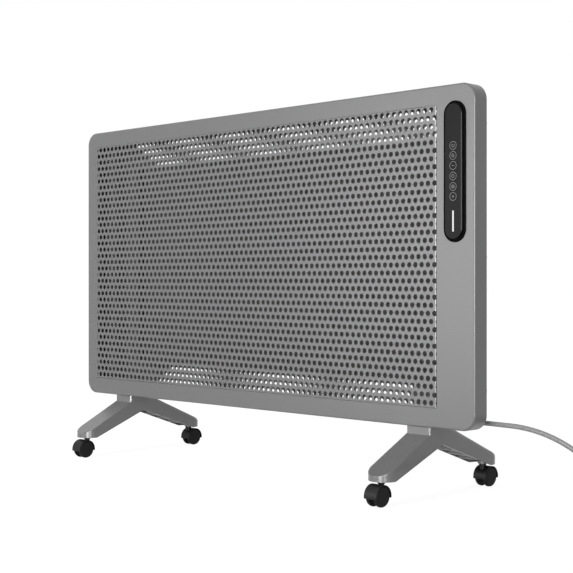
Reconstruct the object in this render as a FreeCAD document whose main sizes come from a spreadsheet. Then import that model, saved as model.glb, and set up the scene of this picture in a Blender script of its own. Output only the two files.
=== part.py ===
import FreeCAD
import Part
import math
import os
import re
import Sketcher

# Panel convector heater on two castored legs, in millimetres.
# +X runs to the right of the front, +Y to the rear, +Z up; the floor is z = 0 under the legs' middle.

Vector = FreeCAD.Vector
Rotation = FreeCAD.Rotation
Placement = FreeCAD.Placement

SIZES = {
    # Casing: front frame, perforated front and rear cover
    "casing_width": 832.0,
    "casing_height": 450.0,
    "casing_corner": 21.0,
    "ground_clearance": 97.0,
    "front_setback": 38.4,
    "frame_depth": 25.4,
    "frame_sheet": 1.5,
    "frame_edge_radius": 2.5,
    "return_flange": 10.0,
    "cover_sheet": 1.5,
    "cover_inset": 1.0,
    "tray_depth": 22.0,
    "tray_side_margin": 45.0,
    "tray_top_margin": 12.0,
    "tray_corner": 2.0,
    "tray_edge_radius": 1.8,
    "grille_left_margin": 24.6,
    "grille_right_margin": 62.0,
    "grille_top_margin": 25.5,
    "grille_bottom_margin": 26.5,
    "grille_sheet": 1.0,
    "grille_proud": 1.2,
    "grille_flange": 6.0,
    "grille_gap": 0.3,
    "grille_hole": 6.5,
    "grille_pitch": 10.65,
    "grille_row_pitch": 10.72,
    "grille_row_inset": 5.3,
    "grille_column_inset": 3.45,
    "vent_hole": 6.6,
    "vent_row_pitch": 11.1,
    "vent_top_pitch": 10.1,
    "vent_top_inset": 25.4,
    "vent_top_start": -331.5,
    "vent_top_end": 330.0,
    "vent_top_shift": 17.4,
    "vent_bottom_pitch": 10.5,
    "vent_bottom_inset": 24.6,
    "vent_bottom_start": -273.4,
    "vent_bottom_end": 276.0,
    "vent_bottom_shift": 16.0,
    "cover_screw_inset": 6.0,
    "cover_screw_rise": 173.0,
    "cover_screw_run": 280.0,
    "cover_screw_corner": 23.0,
    "cover_screw_size": 4.0,
    "cover_screw_head": 7.5,
    "cover_screw_head_height": 2.4,
    "cover_screw_length": 7.0,
    "screw_gap": 0.15,
    # Heating element on its rails and spacers
    "element_width": 640.0,
    "element_shift": 20.0,
    "element_height": 327.7,
    "element_rise": 57.3,
    "element_setback": 22.9,
    "mica_sheet": 0.8,
    "foil_sheet": 0.3,
    "foil_strip": 20.0,
    "foil_pitch": 25.0,
    "foil_margin": 20.0,
    "rail_sheet": 1.0,
    "rail_width": 12.0,
    "spacer_inset": 30.0,
    "spacer_pin": 8.0,
    "spacer_foot": 11.0,
    "reflector_sheet": 0.8,
    "reflector_gap": 4.7,
    "reflector_lap": 9.0,
    "cutout_size": 16.0,
    "cutout_height": 7.0,
    "cutout_plate": 24.0,
    "cutout_plate_sheet": 1.5,
    "cutout_drop": 50.0,
    "fuse_length": 26.0,
    "fuse_width": 8.0,
    "fuse_height": 7.0,
    "fuse_shift": 40.0,
    # Control panel at the right of the front
    "control_width": 35.0,
    "control_height": 183.6,
    "control_side_margin": 14.0,
    "control_top_margin": 22.2,
    "bezel_proud": 2.0,
    "bezel_inset": 2.5,
    "bezel_depth": 5.0,
    "bezel_wall": 2.0,
    "bezel_edge_radius": 0.8,
    "fit_gap": 0.2,
    "touch_width": 27.3,
    "touch_height": 176.0,
    "touch_sheet": 3.5,
    "touch_proud": 4.5,
    "touch_bevel": 1.0,
    "light_width": 4.1,
    "light_height": 27.0,
    "light_rise": 13.8,
    "light_depth": 1.2,
    "light_gap": 0.05,
    "touch_board_gap": 0.5,
    "board_sheet": 1.6,
    # Electrics in the right-hand strip and the tray
    "board_gap": 4.0,
    "board_width": 30.0,
    "board_height": 170.0,
    "board_rise": 62.0,
    "board_standoff": 4.0,
    "board_screw_inset": 4.0,
    "board_spacer": 6.0,
    "board_screw_size": 3.0,
    "board_screw_head": 5.6,
    "board_screw_head_height": 2.0,
    "relay_width": 19.0,
    "relay_height": 15.5,
    "relay_depth": 15.5,
    "relay_rise": 90.0,
    "capacitor_size": 10.0,
    "capacitor_depth": 14.0,
    "capacitor_rise": 60.0,
    "terminal_length": 34.0,
    "terminal_depth": 15.0,
    "terminal_height": 18.0,
    "terminal_lift": 4.6,
    "terminal_well": 6.0,
    "terminal_well_depth": 8.0,
    "tail_length": 14.5,
    "tip_case_width": 20.0,
    "tip_case_depth": 18.0,
    "tip_case_height": 30.0,
    "tip_case_rise": 13.0,
    "tip_case_wall": 1.5,
    "tip_pin_size": 2.0,
    "tip_pin_drop": 5.0,
    "tip_hub": 5.0,
    "tip_hub_length": 12.0,
    "tip_arm_width": 2.5,
    "tip_arm_length": 15.0,
    "tip_bob": 7.0,
    "sensor_width": 10.0,
    "sensor_height": 8.0,
    "sensor_depth": 8.0,
    "sensor_rise": 46.0,
    "sensor_bead": 4.0,
    "sensor_bead_length": 6.0,
    "ribbon_width": 12.0,
    "ribbon_sheet": 0.6,
    "ribbon_lane": 8.0,
    "ribbon_top": 40.0,
    "ribbon_foot": 12.0,
    "wire_size": 2.4,
    "wire_reach": 9.6,
    "wire_landing": 12.0,
    "running_gap": 0.05,
    # Legs
    "leg_spacing": 640.0,
    "leg_width": 40.0,
    "leg_reach": 125.0,
    "leg_underside": 33.0,
    "leg_wall": 2.5,
    "leg_roof": 3.2,
    "leg_nose_flat": 0.2,
    "neck_front": 34.7,
    "neck_rear": 5.5,
    "neck_drop": 10.6,
    "neck_floor": 4.0,
    "nose_top_front": 40.4,
    "nose_top_rear": 44.0,
    "arch_foot_front": 104.0,
    "arch_apex_shift": 6.5,
    "arch_apex_height": 71.7,
    "arch_foot_rear": 103.0,
    "front_rim_radius": 0.6,
    "rear_rim_radius": 5.0,
    "neck_bevel": 1.5,
    "rib_sheet": 2.0,
    "socket_size": 14.0,
    "socket_depth": 10.5,
    "leg_screw_size": 4.0,
    "leg_screw_head": 8.0,
    "leg_screw_head_height": 3.0,
    "leg_screw_spread": 22.0,
    "leg_screw_front": 24.0,
    "leg_screw_rear": 2.0,
    "leg_screw_tip": 1.0,
    "nut_plate_width": 36.0,
    "nut_plate_length": 14.0,
    "nut_plate_sheet": 3.0,
    # Twin-wheel casters
    "caster_reach": 109.5,
    "caster_offset": 7.3,
    "wheel_radius": 14.0,
    "wheel_width": 6.0,
    "wheel_crown": 3.5,
    "wheel_inner_edge": 1.0,
    "wheel_play": 0.4,
    "wheel_end_play": 0.3,
    "axle_size": 4.0,
    "axle_length": 17.6,
    "hood_gap": 0.3,
    "hood_sheet": 0.9,
    "hood_lap": 0.2,
    "hood_web": 7.8,
    "hood_hub": 5.0,
    "hood_start": -10.0,
    "hood_wrap": 200.0,
    "stem_size": 8.0,
    "stem_journal": 5.0,
    "stem_journal_length": 12.0,
    "stem_collar": 10.5,
    "stem_collar_height": 3.4,
    "stem_depth": 10.0,
    "stem_play": 0.1,
    # Mains lead, its gland, coil, tie and plug
    "lead_diameter": 6.5,
    "exit_setback": 38.4,
    "exit_rise": 8.3,
    "gland_length": 25.0,
    "gland_root": 13.0,
    "gland_tip": 9.2,
    "gland_neck": 10.0,
    "gland_collar": 12.0,
    "gland_collar_length": 3.0,
    "coil_x": 520.0,
    "coil_y": 140.0,
    "coil_lift": 1.2,
    "coil_core": 28.0,
    "coil_pitch": 7.2,
    "coil_lead_out": 12.5,
    "tie_sheet": 0.8,
    "tie_width": 9.0,
    "tie_slack": 0.4,
    "plug_width": 35.0,
    "plug_height": 23.3,
    "plug_corner": 9.0,
    "plug_length": 28.0,
    "plug_edge_radius": 2.5,
    "plug_neck_length": 22.0,
    "plug_neck_root": 15.0,
    "plug_neck_tip": 9.2,
    "plug_pin_size": 4.8,
    "plug_pin_length": 19.0,
    "plug_pin_spacing": 19.0,
    "plug_pin_root": 6.0,
    "plug_pin_tail": 4.0,
}

# Counts
GRILLE_ROWS = 37
VENT_TOP_ROWS = 4
VENT_BOTTOM_ROWS = 3
FOIL_STRIPS = 12
TERMINAL_WELLS = 3
COIL_QUARTERS_IN = 9
COIL_QUARTERS_OUT = 10

# Planes and edges that several pieces share
HALF_WIDTH = "(casing_width / 2)"
CASING_TOP = "(ground_clearance + casing_height)"
CASING_MIDDLE = "(ground_clearance + casing_height / 2)"
FRONT_FACE = "(-front_setback)"
FRONT_INSIDE = "(frame_sheet - front_setback)"
FRAME_REAR = "(frame_depth - front_setback)"
COVER_REAR = "(frame_depth - front_setback + cover_sheet)"
TRAY_INSIDE = "(frame_depth - front_setback + tray_depth - cover_sheet)"
TRAY_SIDE = "(casing_width / 2 - tray_side_margin)"
FLOOR_INSIDE = "(ground_clearance + frame_sheet)"
TRAY_FLOOR = "(ground_clearance + cover_sheet)"
GRILLE_LEFT = "(grille_left_margin - casing_width / 2)"
GRILLE_RIGHT = "(casing_width / 2 - grille_right_margin)"
GRILLE_BOTTOM = "(ground_clearance + grille_bottom_margin)"
GRILLE_TOP = "(ground_clearance + casing_height - grille_top_margin)"
ELEMENT_LEFT = "(element_shift - element_width / 2)"
ELEMENT_RIGHT = "(element_shift + element_width / 2)"
ELEMENT_BOTTOM = "(ground_clearance + element_rise)"
ELEMENT_TOP = "(ground_clearance + element_rise + element_height)"
MICA_FACE = "(element_setback - front_setback)"
FOIL_FACE = "(element_setback - front_setback + mica_sheet)"
MICA_BACK_FACE = "(element_setback - front_setback + mica_sheet + foil_sheet)"
MICA_REAR = "(element_setback - front_setback + 2 * mica_sheet + foil_sheet)"
RAIL_REAR = "(element_setback - front_setback + 2 * mica_sheet + foil_sheet + rail_sheet)"
REFLECTOR_REAR = f"({TRAY_INSIDE} - reflector_gap)"
REFLECTOR_FACE = f"({TRAY_INSIDE} - reflector_gap - reflector_sheet)"
CONTROL_X = "(casing_width / 2 - control_side_margin - control_width / 2)"
CONTROL_Z = "(ground_clearance + casing_height - control_top_margin - control_height / 2)"
CONTROL_BOTTOM = "(ground_clearance + casing_height - control_top_margin - control_height)"
TOUCH_SEAT = "(touch_sheet - touch_proud - front_setback)"
BEZEL_CAVITY = "(touch_sheet - touch_proud - front_setback + bezel_wall)"
BEZEL_REAR = "(frame_sheet - front_setback + bezel_depth)"
BOARD_LEFT = f"({TRAY_SIDE} + board_gap)"
BOARD_X = f"({TRAY_SIDE} + board_gap + board_width / 2)"
BOARD_BOTTOM = "(ground_clearance + board_rise)"
BOARD_REAR = f"({FRAME_REAR} - board_standoff)"
BOARD_FACE = f"({FRAME_REAR} - board_standoff - board_sheet)"
TERMINAL_RIGHT = f"({TRAY_SIDE} - cover_sheet - gland_collar_length - tail_length)"
TERMINAL_TOP = f"({TRAY_FLOOR} + terminal_lift + terminal_height)"
TIP_BOTTOM = "(ground_clearance + tip_case_rise)"
TIP_PIN_Z = "(ground_clearance + tip_case_rise + tip_case_height - tip_pin_drop)"
TIP_PIN_Y = f"({FRAME_REAR} - tip_case_wall / 2 - tip_case_depth / 2)"
NECK_CEILING = "(ground_clearance - neck_floor)"
EXIT_Y = "(exit_setback - front_setback)"
EXIT_Z = "(ground_clearance + exit_rise)"
STEM_COLLAR_BOTTOM = "(leg_underside - stem_collar_height)"
HOOD_TOP = "(leg_underside - stem_collar_height - stem_play)"
HOOD_INSIDE = "(wheel_radius + hood_gap)"
HOOD_OUTSIDE = "(wheel_radius + hood_gap + hood_sheet)"
HOOD_HALF = "(hood_web / 2 + wheel_play + wheel_width + hood_lap)"
COIL_Z = "(lead_diameter / 2 + coil_lift)"
COIL_TOP_Z = "(lead_diameter / 2 + coil_lift + coil_pitch)"
COIL_START_RADIUS = f"(coil_core + coil_pitch * {COIL_QUARTERS_IN} / 4)"
COIL_END_RADIUS = f"(coil_core + coil_pitch * {COIL_QUARTERS_OUT} / 4 + coil_lead_out)"
PLUG_X = "(coil_x - lead_diameter)"
PLUG_Y = f"(coil_y + {COIL_END_RADIUS})"
PLUG_FACE = f"({PLUG_X} - plug_neck_length - plug_length)"

# Where the cover screws sit, as x and z
COVER_SCREWS = [
    *[(f"{side} * ({HALF_WIDTH} - cover_screw_inset)", f"{CASING_MIDDLE} + {row} * cover_screw_rise")
      for side in (-1, 1) for row in (-1, 0, 1)],
    *[(f"{column} * cover_screw_run", f"{CASING_TOP} - cover_screw_inset") for column in (-1, 0, 1)],
    *[(f"{side} * ({HALF_WIDTH} - cover_screw_corner)", "ground_clearance + cover_screw_inset")
      for side in (-1, 1)],
]
# Where the leg screws sit in one leg, as x from the leg's middle and y
LEG_SCREWS = [(f"{side} * leg_screw_spread / 2", y)
              for side in (-1, 1) for y in ("(-leg_screw_front)", "(-leg_screw_rear)")]
# Where the board screws sit, as x and z
BOARD_SCREWS = [(f"{BOARD_X} + {side} * (board_width / 2 - board_screw_inset)", z)
                for side in (-1, 1)
                for z in (f"({BOARD_BOTTOM} + board_screw_inset)",
                          f"({BOARD_BOTTOM} + board_height - board_screw_inset)")]
# Where the element's spacers stand, as x and z
SPACERS = [(x, z)
           for x in (f"({ELEMENT_LEFT} - rail_sheet + rail_width / 2)",
                     f"({ELEMENT_RIGHT} + rail_sheet - rail_width / 2)")
           for z in (f"({ELEMENT_BOTTOM} + spacer_inset)", f"({ELEMENT_TOP} - spacer_inset)")]
# Cross ribs under a leg, as y of their middles
LEG_RIBS = (-86.0, -62.0, 28.0, 52.0, 76.0)
# Points of the mains lead between its gland and its coil, chosen by hand
LEAD_ROUTE = [
    (424.0, 0.0, 105.3),
    (466.0, 0.5, 104.6),
    (503.0, 6.0, 95.5),
    (532.0, 21.0, 76.5),
    (551.0, 43.0, 49.5),
    (559.5, 70.0, 25.5),
    (563.0, 95.0, 10.0),
    (564.2, 118.0, 4.45),
]
# A cord's arc starts this share of the shorter run away from its corner
BEND_SHARE = 0.45
# A wire rises this share of the way to the element before it leans over
WIRE_RISE_SHARE = 1 / 3
# Share of a layer that the coil climbs in a quarter turn at the middle of its climb
CLIMB_SHARE = 0.75
# Spacing of the points on which the coil's gap to itself is measured
GAP_STEP = 2.0
LEAST_SELF_GAP = 0.4
# Places closer than this count as the same, and a cut that takes less than this much counts as none
SAME_PLACE = 1e-4
LEAST_CUT = 1e-3

ALONG_X = Rotation(Vector(0, 1, 0), 90)
AGAINST_X = Rotation(Vector(0, 1, 0), -90)
ALONG_Y = Rotation(Vector(1, 0, 0), -90)
AGAINST_Y = Rotation(Vector(1, 0, 0), 90)
UPRIGHT = Rotation()
HALF_TURN = Rotation(Vector(0, 0, 1), 180)
WORD = re.compile(r"[a-z_]+")

doc = FreeCAD.newDocument("PanelHeater")
sheet = doc.addObject("Spreadsheet::Sheet", "Sizes")
nodes = {}


def fill_sheet():
    """Write each driving size into its own named cell."""
    for row, (name, value) in enumerate(SIZES.items(), 1):
        sheet.set(f"A{row}", name)
        sheet.set(f"B{row}", str(value))
        sheet.setAlias(f"B{row}", name)
    doc.recompute()


def sized(text):
    """The expression with every size name pointed at its cell."""
    return WORD.sub(lambda word: f"Sizes.{word[0]}" if word[0] in SIZES else word[0], str(text))


def number(text):
    """The present value of an expression of sizes."""
    return float(sheet.evalExpression(sized(text)))


def point(x, y, z):
    """A point from three expressions."""
    return Vector(number(x), number(y), number(z))


def bind(thing, **sizes):
    """Tie properties of an object to expressions of sizes."""
    for name, text in sizes.items():
        thing.setExpression(name, sized(text))


def place(thing, x="0", y="0", z="0", turn=UPRIGHT):
    """Tie an object's place to expressions, at a fixed turn."""
    thing.Placement = Placement(Vector(), turn)
    for axis, text in zip("xyz", (x, y, z)):
        thing.setExpression(f"Placement.Base.{axis}", sized(text))
    return thing


def node(label, thing):
    """Name an object as a finished piece."""
    thing.Label = label
    nodes[label] = thing
    return thing


def new_body(name):
    return doc.addObject("PartDesign::Body", name)


def origin_item(body, role):
    """One of the body's own origin planes or axes."""
    return next(item for item in body.Origin.OriginFeatures if item.Role == role)


def sketch_on(body, plane, lift="0"):
    """An empty sketch on an origin plane, lifted along that plane's normal."""
    sketch = body.newObject("Sketcher::SketchObject", "Sketch")
    sketch.AttachmentSupport = [(origin_item(body, plane), "")]
    sketch.MapMode = "FlatFace"
    sketch.setExpression("AttachmentOffset.Base.z", sized(lift))
    return sketch


def constrain(sketch, text, kind, *where):
    """Add a dimension and tie it to an expression."""
    index = sketch.addConstraint(Sketcher.Constraint(kind, *where, number(text)))
    sketch.setExpression(f"Constraints[{index}]", sized(text))


def pin_down(sketch, item, end, u, v):
    """Hold one point of a sketch at u, v from the origin."""
    constrain(sketch, u, "DistanceX", -1, 1, item, end)
    constrain(sketch, v, "DistanceY", -1, 1, item, end)


def polygon(sketch, corners):
    """Closed outline with straight sides."""
    spots = [Vector(number(u), number(v), 0) for u, v in corners]
    for start, end in zip(spots, spots[1:] + spots[:1]):
        sketch.addGeometry(Part.LineSegment(start, end), False)
    for index, (u, v) in enumerate(corners):
        before = (index - 1) % len(corners)
        sketch.addConstraint(Sketcher.Constraint("Coincident", before, 2, index, 1))
        pin_down(sketch, index, 1, u, v)
    return sketch


def rectangle(sketch, left, bottom, right, top):
    return polygon(sketch, [(left, bottom), (right, bottom), (right, top), (left, top)])


def arc_at(u, v, radius, start):
    """Quarter arc about u, v that begins at the given quarter of the circle."""
    circle = Part.Circle(Vector(u, v, 0), Vector(0, 0, 1), radius)
    return Part.ArcOfCircle(circle, start * math.pi / 2, (start + 1) * math.pi / 2)


def rounded(sketch, left, bottom, right, top, radius):
    """Rectangle with four equal round corners."""
    centres = [(f"{right} - {radius}", f"{bottom} + {radius}"), (f"{right} - {radius}", f"{top} - {radius}"),
               (f"{left} + {radius}", f"{top} - {radius}"), (f"{left} + {radius}", f"{bottom} + {radius}")]
    arcs = [arc_at(number(u), number(v), number(radius), start)
            for start, (u, v) in zip((3, 0, 1, 2), centres)]
    for before, arc in zip(arcs[-1:] + arcs[:-1], arcs):
        sketch.addGeometry(Part.LineSegment(before.EndPoint, arc.StartPoint), False)
        sketch.addGeometry(arc, False)
    return close_round(sketch, centres, radius)


def slot(sketch, u, v, width, height):
    """Upright slot with half-round ends."""
    radius = f"({width}) / 2"
    reach = f"(({height}) - ({width})) / 2"
    centres = [(u, f"{v} + {reach}"), (u, f"{v} - {reach}")]
    arcs = []
    for start, (x, y) in zip((0, 2), centres):
        circle = Part.Circle(Vector(number(x), number(y), 0), Vector(0, 0, 1), number(radius))
        arcs.append(Part.ArcOfCircle(circle, start * math.pi / 2, (start + 2) * math.pi / 2))
    for before, arc in zip(arcs[-1:] + arcs[:-1], arcs):
        sketch.addGeometry(Part.LineSegment(before.EndPoint, arc.StartPoint), False)
        sketch.addGeometry(arc, False)
    return close_round(sketch, centres, radius)


def close_round(sketch, centres, radius):
    """Join alternating lines and arcs smoothly, and hold the arcs' centres and radii."""
    count = 2 * len(centres)
    for index in range(count):
        sketch.addConstraint(Sketcher.Constraint("Tangent", index, 2, (index + 1) % count, 1))
    for index, (u, v) in enumerate(centres):
        pin_down(sketch, 2 * index + 1, 3, u, v)
        constrain(sketch, radius, "Radius", 2 * index + 1)
    return sketch


def circles(sketch, spots, size):
    """Equal circles about the given spots."""
    for index, (u, v) in enumerate(spots):
        centre = Vector(number(u), number(v), 0)
        sketch.addGeometry(Part.Circle(centre, Vector(0, 0, 1), number(size) / 2), False)
        pin_down(sketch, index, 3, u, v)
        constrain(sketch, size, "Diameter", index)
    return sketch


def pad(body, sketch, length, back=False, both=False):
    """Raise a sketch along its normal, against it, or evenly both ways."""
    return raise_or_cut("PartDesign::Pad", body, sketch, length, back, both)


def pocket(body, sketch, length, back=False, both=False):
    """Cut a sketch against its normal, along it, or evenly both ways."""
    return raise_or_cut("PartDesign::Pocket", body, sketch, length, back, both)


def raise_or_cut(kind, body, sketch, length, back, both):
    feature = body.newObject(kind, "Feature")
    feature.Profile = sketch
    feature.Reversed = back
    feature.SideType = "Symmetric" if both else "One side"
    bind(feature, Length=length)
    return feature


def revolve(body, sketch, axis="Z_Axis"):
    """Turn a half section once round an origin axis."""
    feature = body.newObject("PartDesign::Revolution", "Revolution")
    feature.Profile = sketch
    feature.ReferenceAxis = (origin_item(body, axis), [""])
    feature.Angle = 360
    return feature


def turned(name, section):
    """A body turned about its own z axis from corners of radius and height."""
    body = new_body(name)
    revolve(body, polygon(sketch_on(body, "XZ_Plane"), section))
    return body


def dress(kind, body, wanted, **sizes):
    """Round or bevel the edges of the body's last feature that pass a test."""
    doc.recompute()
    base = body.Tip
    names = [f"Edge{index}" for index, edge in enumerate(base.Shape.Edges, 1) if wanted(edge)]
    feature = body.newObject(kind, "Dress")
    feature.Base = (base, names)
    bind(feature, **sizes)
    return feature


def fillet(body, wanted, radius):
    return dress("PartDesign::Fillet", body, wanted, Radius=radius)


def edges_in_plane(axis, place_text):
    """A test for edges that lie wholly in a plane across one axis."""
    level = number(place_text)
    return lambda edge: all(abs(vertex.Point[axis] - level) < SAME_PLACE for vertex in edge.Vertexes)


def circle_edges(radius, level=None):
    """A test for full circles of a radius, at a height if one is given."""
    def wanted(edge):
        curve = edge.Curve
        if not isinstance(curve, Part.Circle) or abs(curve.Radius - radius) > SAME_PLACE:
            return False
        return level is None or abs(curve.Center.z - level) < SAME_PLACE
    return wanted


def block(name, x, y, z):
    """A box between pairs of expressions."""
    thing = doc.addObject("Part::Box", name)
    spans = (("Length", x), ("Width", y), ("Height", z))
    bind(thing, **{side: f"({high}) - ({low})" for side, (low, high) in spans})
    return place(thing, x[0], y[0], z[0])


def cylinder(name, size, length, x, y, z, turn=UPRIGHT):
    """A cylinder of a diameter and a length from one end."""
    thing = doc.addObject("Part::Cylinder", name)
    bind(thing, Radius=f"({size}) / 2", Height=length)
    return place(thing, x, y, z, turn)


def cut(name, base, tool):
    thing = doc.addObject("Part::Cut", name)
    thing.Base = base
    thing.Tool = tool
    return thing


def fuse(name, pieces):
    thing = doc.addObject("Part::MultiFuse", name)
    thing.Shapes = pieces
    return thing


def common(name, pieces):
    thing = doc.addObject("Part::MultiCommon", name)
    thing.Shapes = pieces
    return thing


def feature_of(name, shape):
    """A piece whose shape is worked out here from the sheet's sizes."""
    thing = doc.addObject("Part::Feature", name)
    thing.Shape = shape
    return thing


def group(name, pattern, spots):
    """Separate equal solids at the given spots."""
    doc.recompute()
    copies = []
    for spot in spots:
        copy = pattern.Shape.copy()
        copy.Placement = Placement(spot, UPRIGHT).multiply(copy.Placement)
        copies.append(copy)
    return feature_of(name, Part.makeCompound(copies))


# Casing

def front_frame():
    """Folded steel frame: side walls, a front face with two windows, and a return flange at the rear."""
    body = place(new_body("front_frame"), y=FRAME_REAR)
    outline = (f"(-{HALF_WIDTH})", "ground_clearance", HALF_WIDTH, CASING_TOP)
    pad(body, rounded(sketch_on(body, "XZ_Plane"), *outline, "casing_corner"), "frame_depth")
    fillet(body, edges_in_plane(1, "-frame_depth"), "frame_edge_radius")
    cavity = sketch_on(body, "XZ_Plane", "frame_sheet")
    pocket(body, rounded(cavity, *inset_frame("frame_sheet")), "frame_depth - 2 * frame_sheet", back=True)
    mouth = rounded(sketch_on(body, "XZ_Plane"), *inset_frame("return_flange"))
    pocket(body, mouth, "frame_sheet", back=True)
    window = sketch_on(body, "XZ_Plane")
    rectangle(window, f"{GRILLE_LEFT} - grille_gap", f"{GRILLE_BOTTOM} - grille_gap",
              f"{GRILLE_RIGHT} + grille_gap", f"{GRILLE_TOP} + grille_gap")
    pocket(body, window, "frame_depth", back=True)
    hole = sketch_on(body, "XZ_Plane")
    slot(hole, CONTROL_X, CONTROL_Z, "control_width - 2 * bezel_inset + 2 * fit_gap",
         "control_height - 2 * bezel_inset + 2 * fit_gap")
    pocket(body, hole, "frame_depth", back=True)
    screws = circles(sketch_on(body, "XZ_Plane"), COVER_SCREWS, "cover_screw_size + 2 * screw_gap")
    pocket(body, screws, "frame_sheet", back=True)
    spots = [(f"{side} * leg_spacing / 2 + {x}", f"-leg_screw_front - {FRAME_REAR}")
             for side in (-1, 1) for x in ("leg_screw_spread / 2", "(-leg_screw_spread / 2)")]
    floor = circles(sketch_on(body, "XY_Plane", "ground_clearance"), spots, "leg_screw_size + 2 * screw_gap")
    pocket(body, floor, "frame_sheet", back=True)
    node("front_frame", body)


def inset_frame(inset):
    """The casing's outline moved inwards, with its corner."""
    return (f"({inset} - {HALF_WIDTH})", f"(ground_clearance + {inset})", f"({HALF_WIDTH} - {inset})",
            f"({CASING_TOP} - {inset})", f"(casing_corner - {inset})")


def grille_row(row):
    """One strip of the front sheet with its row of holes; every other row is set half a pitch aside."""
    pitch, row_pitch = number("grille_pitch"), number("grille_row_pitch")
    left, right = number(GRILLE_LEFT), number(GRILLE_RIGHT)
    z = number(GRILLE_TOP) - number("grille_row_inset") - row_pitch * row
    top = number(GRILLE_TOP) if row == 0 else z + row_pitch / 2
    bottom = number(GRILLE_BOTTOM) if row == GRILLE_ROWS - 1 else z - row_pitch / 2
    y = number(f"{FRONT_FACE} - grille_proud")
    radius = number("grille_hole") / 2
    last = right - number("grille_column_inset") - (0 if row % 2 else pitch / 2)
    count = int((last - radius - left) / pitch) + 1
    corners = [Vector(left, y, bottom), Vector(right, y, bottom), Vector(right, y, top), Vector(left, y, top)]
    wires = [Part.makePolygon(corners + corners[:1])]
    for column in range(count):
        centre = Vector(last - pitch * column, y, z)
        wires.append(Part.Wire(Part.makeCircle(radius, centre, Vector(0, 1, 0))))
    return Part.Face(wires).extrude(Vector(0, number("grille_sheet"), 0))


def box_ring(left, bottom, right, top, wall, y, depth):
    """A rectangular ring lying in the front plane."""
    outer = Part.makeBox(right - left, depth, top - bottom, Vector(left, y, bottom))
    inner = Part.makeBox(right - left - 2 * wall, depth, top - bottom - 2 * wall,
                         Vector(left + wall, y, bottom + wall))
    return outer.cut(inner)


def front_grille():
    """Perforated front sheet: a shallow pan that stands proud through the frame, with a flange behind it."""
    left, right = number(GRILLE_LEFT), number(GRILLE_RIGHT)
    bottom, top = number(GRILLE_BOTTOM), number(GRILLE_TOP)
    thick, flange = number("grille_sheet"), number("grille_flange")
    face = number(f"{FRONT_FACE} - grille_proud") + thick
    seat = number(FRONT_INSIDE)
    wall = box_ring(left, bottom, right, top, thick, face, seat + thick - face)
    lip = box_ring(left - flange, bottom - flange, right + flange, top + flange, flange + thick, seat, thick)
    rows = [grille_row(row) for row in range(GRILLE_ROWS)]
    pan = rows[0].multiFuse(rows[1:] + [wall.fuse(lip).removeSplitter()])
    node("front_grille", feature_of("front_grille", pan.Solids[0]))


def vent_row(row, start, shift, end, pitch):
    """Places along x of one row of vents; each row starts set over from the one nearer the tray's edge."""
    first = number(f"{start} + {row} * {shift}")
    step = number(pitch)
    return [first + step * column for column in range(int((number(end) - first) / step) + 1)]


def vent_cutters():
    """Drills for the rear vents, in rows along the tray's top and bottom."""
    step = number("vent_row_pitch")
    top = number(f"{CASING_TOP} - vent_top_inset")
    bottom = number("ground_clearance + vent_bottom_inset")
    top_run = "vent_top_start", "vent_top_shift", "vent_top_end", "vent_top_pitch"
    bottom_run = "vent_bottom_start", "vent_bottom_shift", "vent_bottom_end", "vent_bottom_pitch"
    spots = [(x, top - step * row) for row in range(VENT_TOP_ROWS) for x in vent_row(row, *top_run)]
    spots += [(x, bottom + step * row) for row in range(VENT_BOTTOM_ROWS) for x in vent_row(row, *bottom_run)]
    overrun = number("screw_gap")
    start = number(TRAY_INSIDE) - overrun
    depth = number("cover_sheet") + 2 * overrun
    radius = number("vent_hole") / 2
    drills = [Part.makeCylinder(radius, depth, Vector(x, start, z), Vector(0, 1, 0)) for x, z in spots]
    return feature_of("vent_cutters", Part.makeCompound(drills))


def rear_cover():
    """Rear sheet that closes the frame: a pressed tray, vents, and holes for its screws, legs and lead."""
    body = place(new_body("cover_blank"), y=FRAME_REAR)
    edge = rounded(sketch_on(body, "XZ_Plane"), f"(cover_inset - {HALF_WIDTH})", "ground_clearance",
                   f"({HALF_WIDTH} - cover_inset)", f"({CASING_TOP} - cover_inset)",
                   "(casing_corner - cover_inset)")
    pad(body, edge, "cover_sheet", back=True)
    tray = rounded(sketch_on(body, "XZ_Plane"), f"(-{TRAY_SIDE})", "ground_clearance", TRAY_SIDE,
                   f"({CASING_TOP} - tray_top_margin)", "tray_corner")
    pad(body, tray, "tray_depth", back=True)
    fillet(body, edges_in_plane(1, "tray_depth"), "tray_edge_radius")
    hollow = sketch_on(body, "XZ_Plane")
    rounded(hollow, f"(cover_sheet - {TRAY_SIDE})", "(ground_clearance + cover_sheet)",
            f"({TRAY_SIDE} - cover_sheet)", f"({CASING_TOP} - tray_top_margin - cover_sheet)",
            "(tray_corner - cover_sheet)")
    pocket(body, hollow, "tray_depth - cover_sheet")
    screws = circles(sketch_on(body, "XZ_Plane"), COVER_SCREWS, "cover_screw_size + 2 * screw_gap")
    pocket(body, screws, "cover_sheet")
    boards = circles(sketch_on(body, "XZ_Plane"), BOARD_SCREWS, "board_screw_size + 2 * screw_gap")
    pocket(body, boards, "cover_sheet")
    spots = [(f"{side} * leg_spacing / 2 + {x}", f"-leg_screw_rear - {FRAME_REAR}")
             for side in (-1, 1) for x in ("leg_screw_spread / 2", "(-leg_screw_spread / 2)")]
    floor = circles(sketch_on(body, "XY_Plane", "ground_clearance"), spots, "leg_screw_size + 2 * screw_gap")
    pocket(body, floor, "cover_sheet", back=True)
    exit_hole = sketch_on(body, "YZ_Plane", TRAY_SIDE)
    circles(exit_hole, [(f"{EXIT_Y} - {FRAME_REAR}", EXIT_Z)], "gland_neck + 2 * running_gap")
    pocket(body, exit_hole, "cover_sheet")
    node("rear_cover", cut("rear_cover", body, vent_cutters()))


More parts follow.
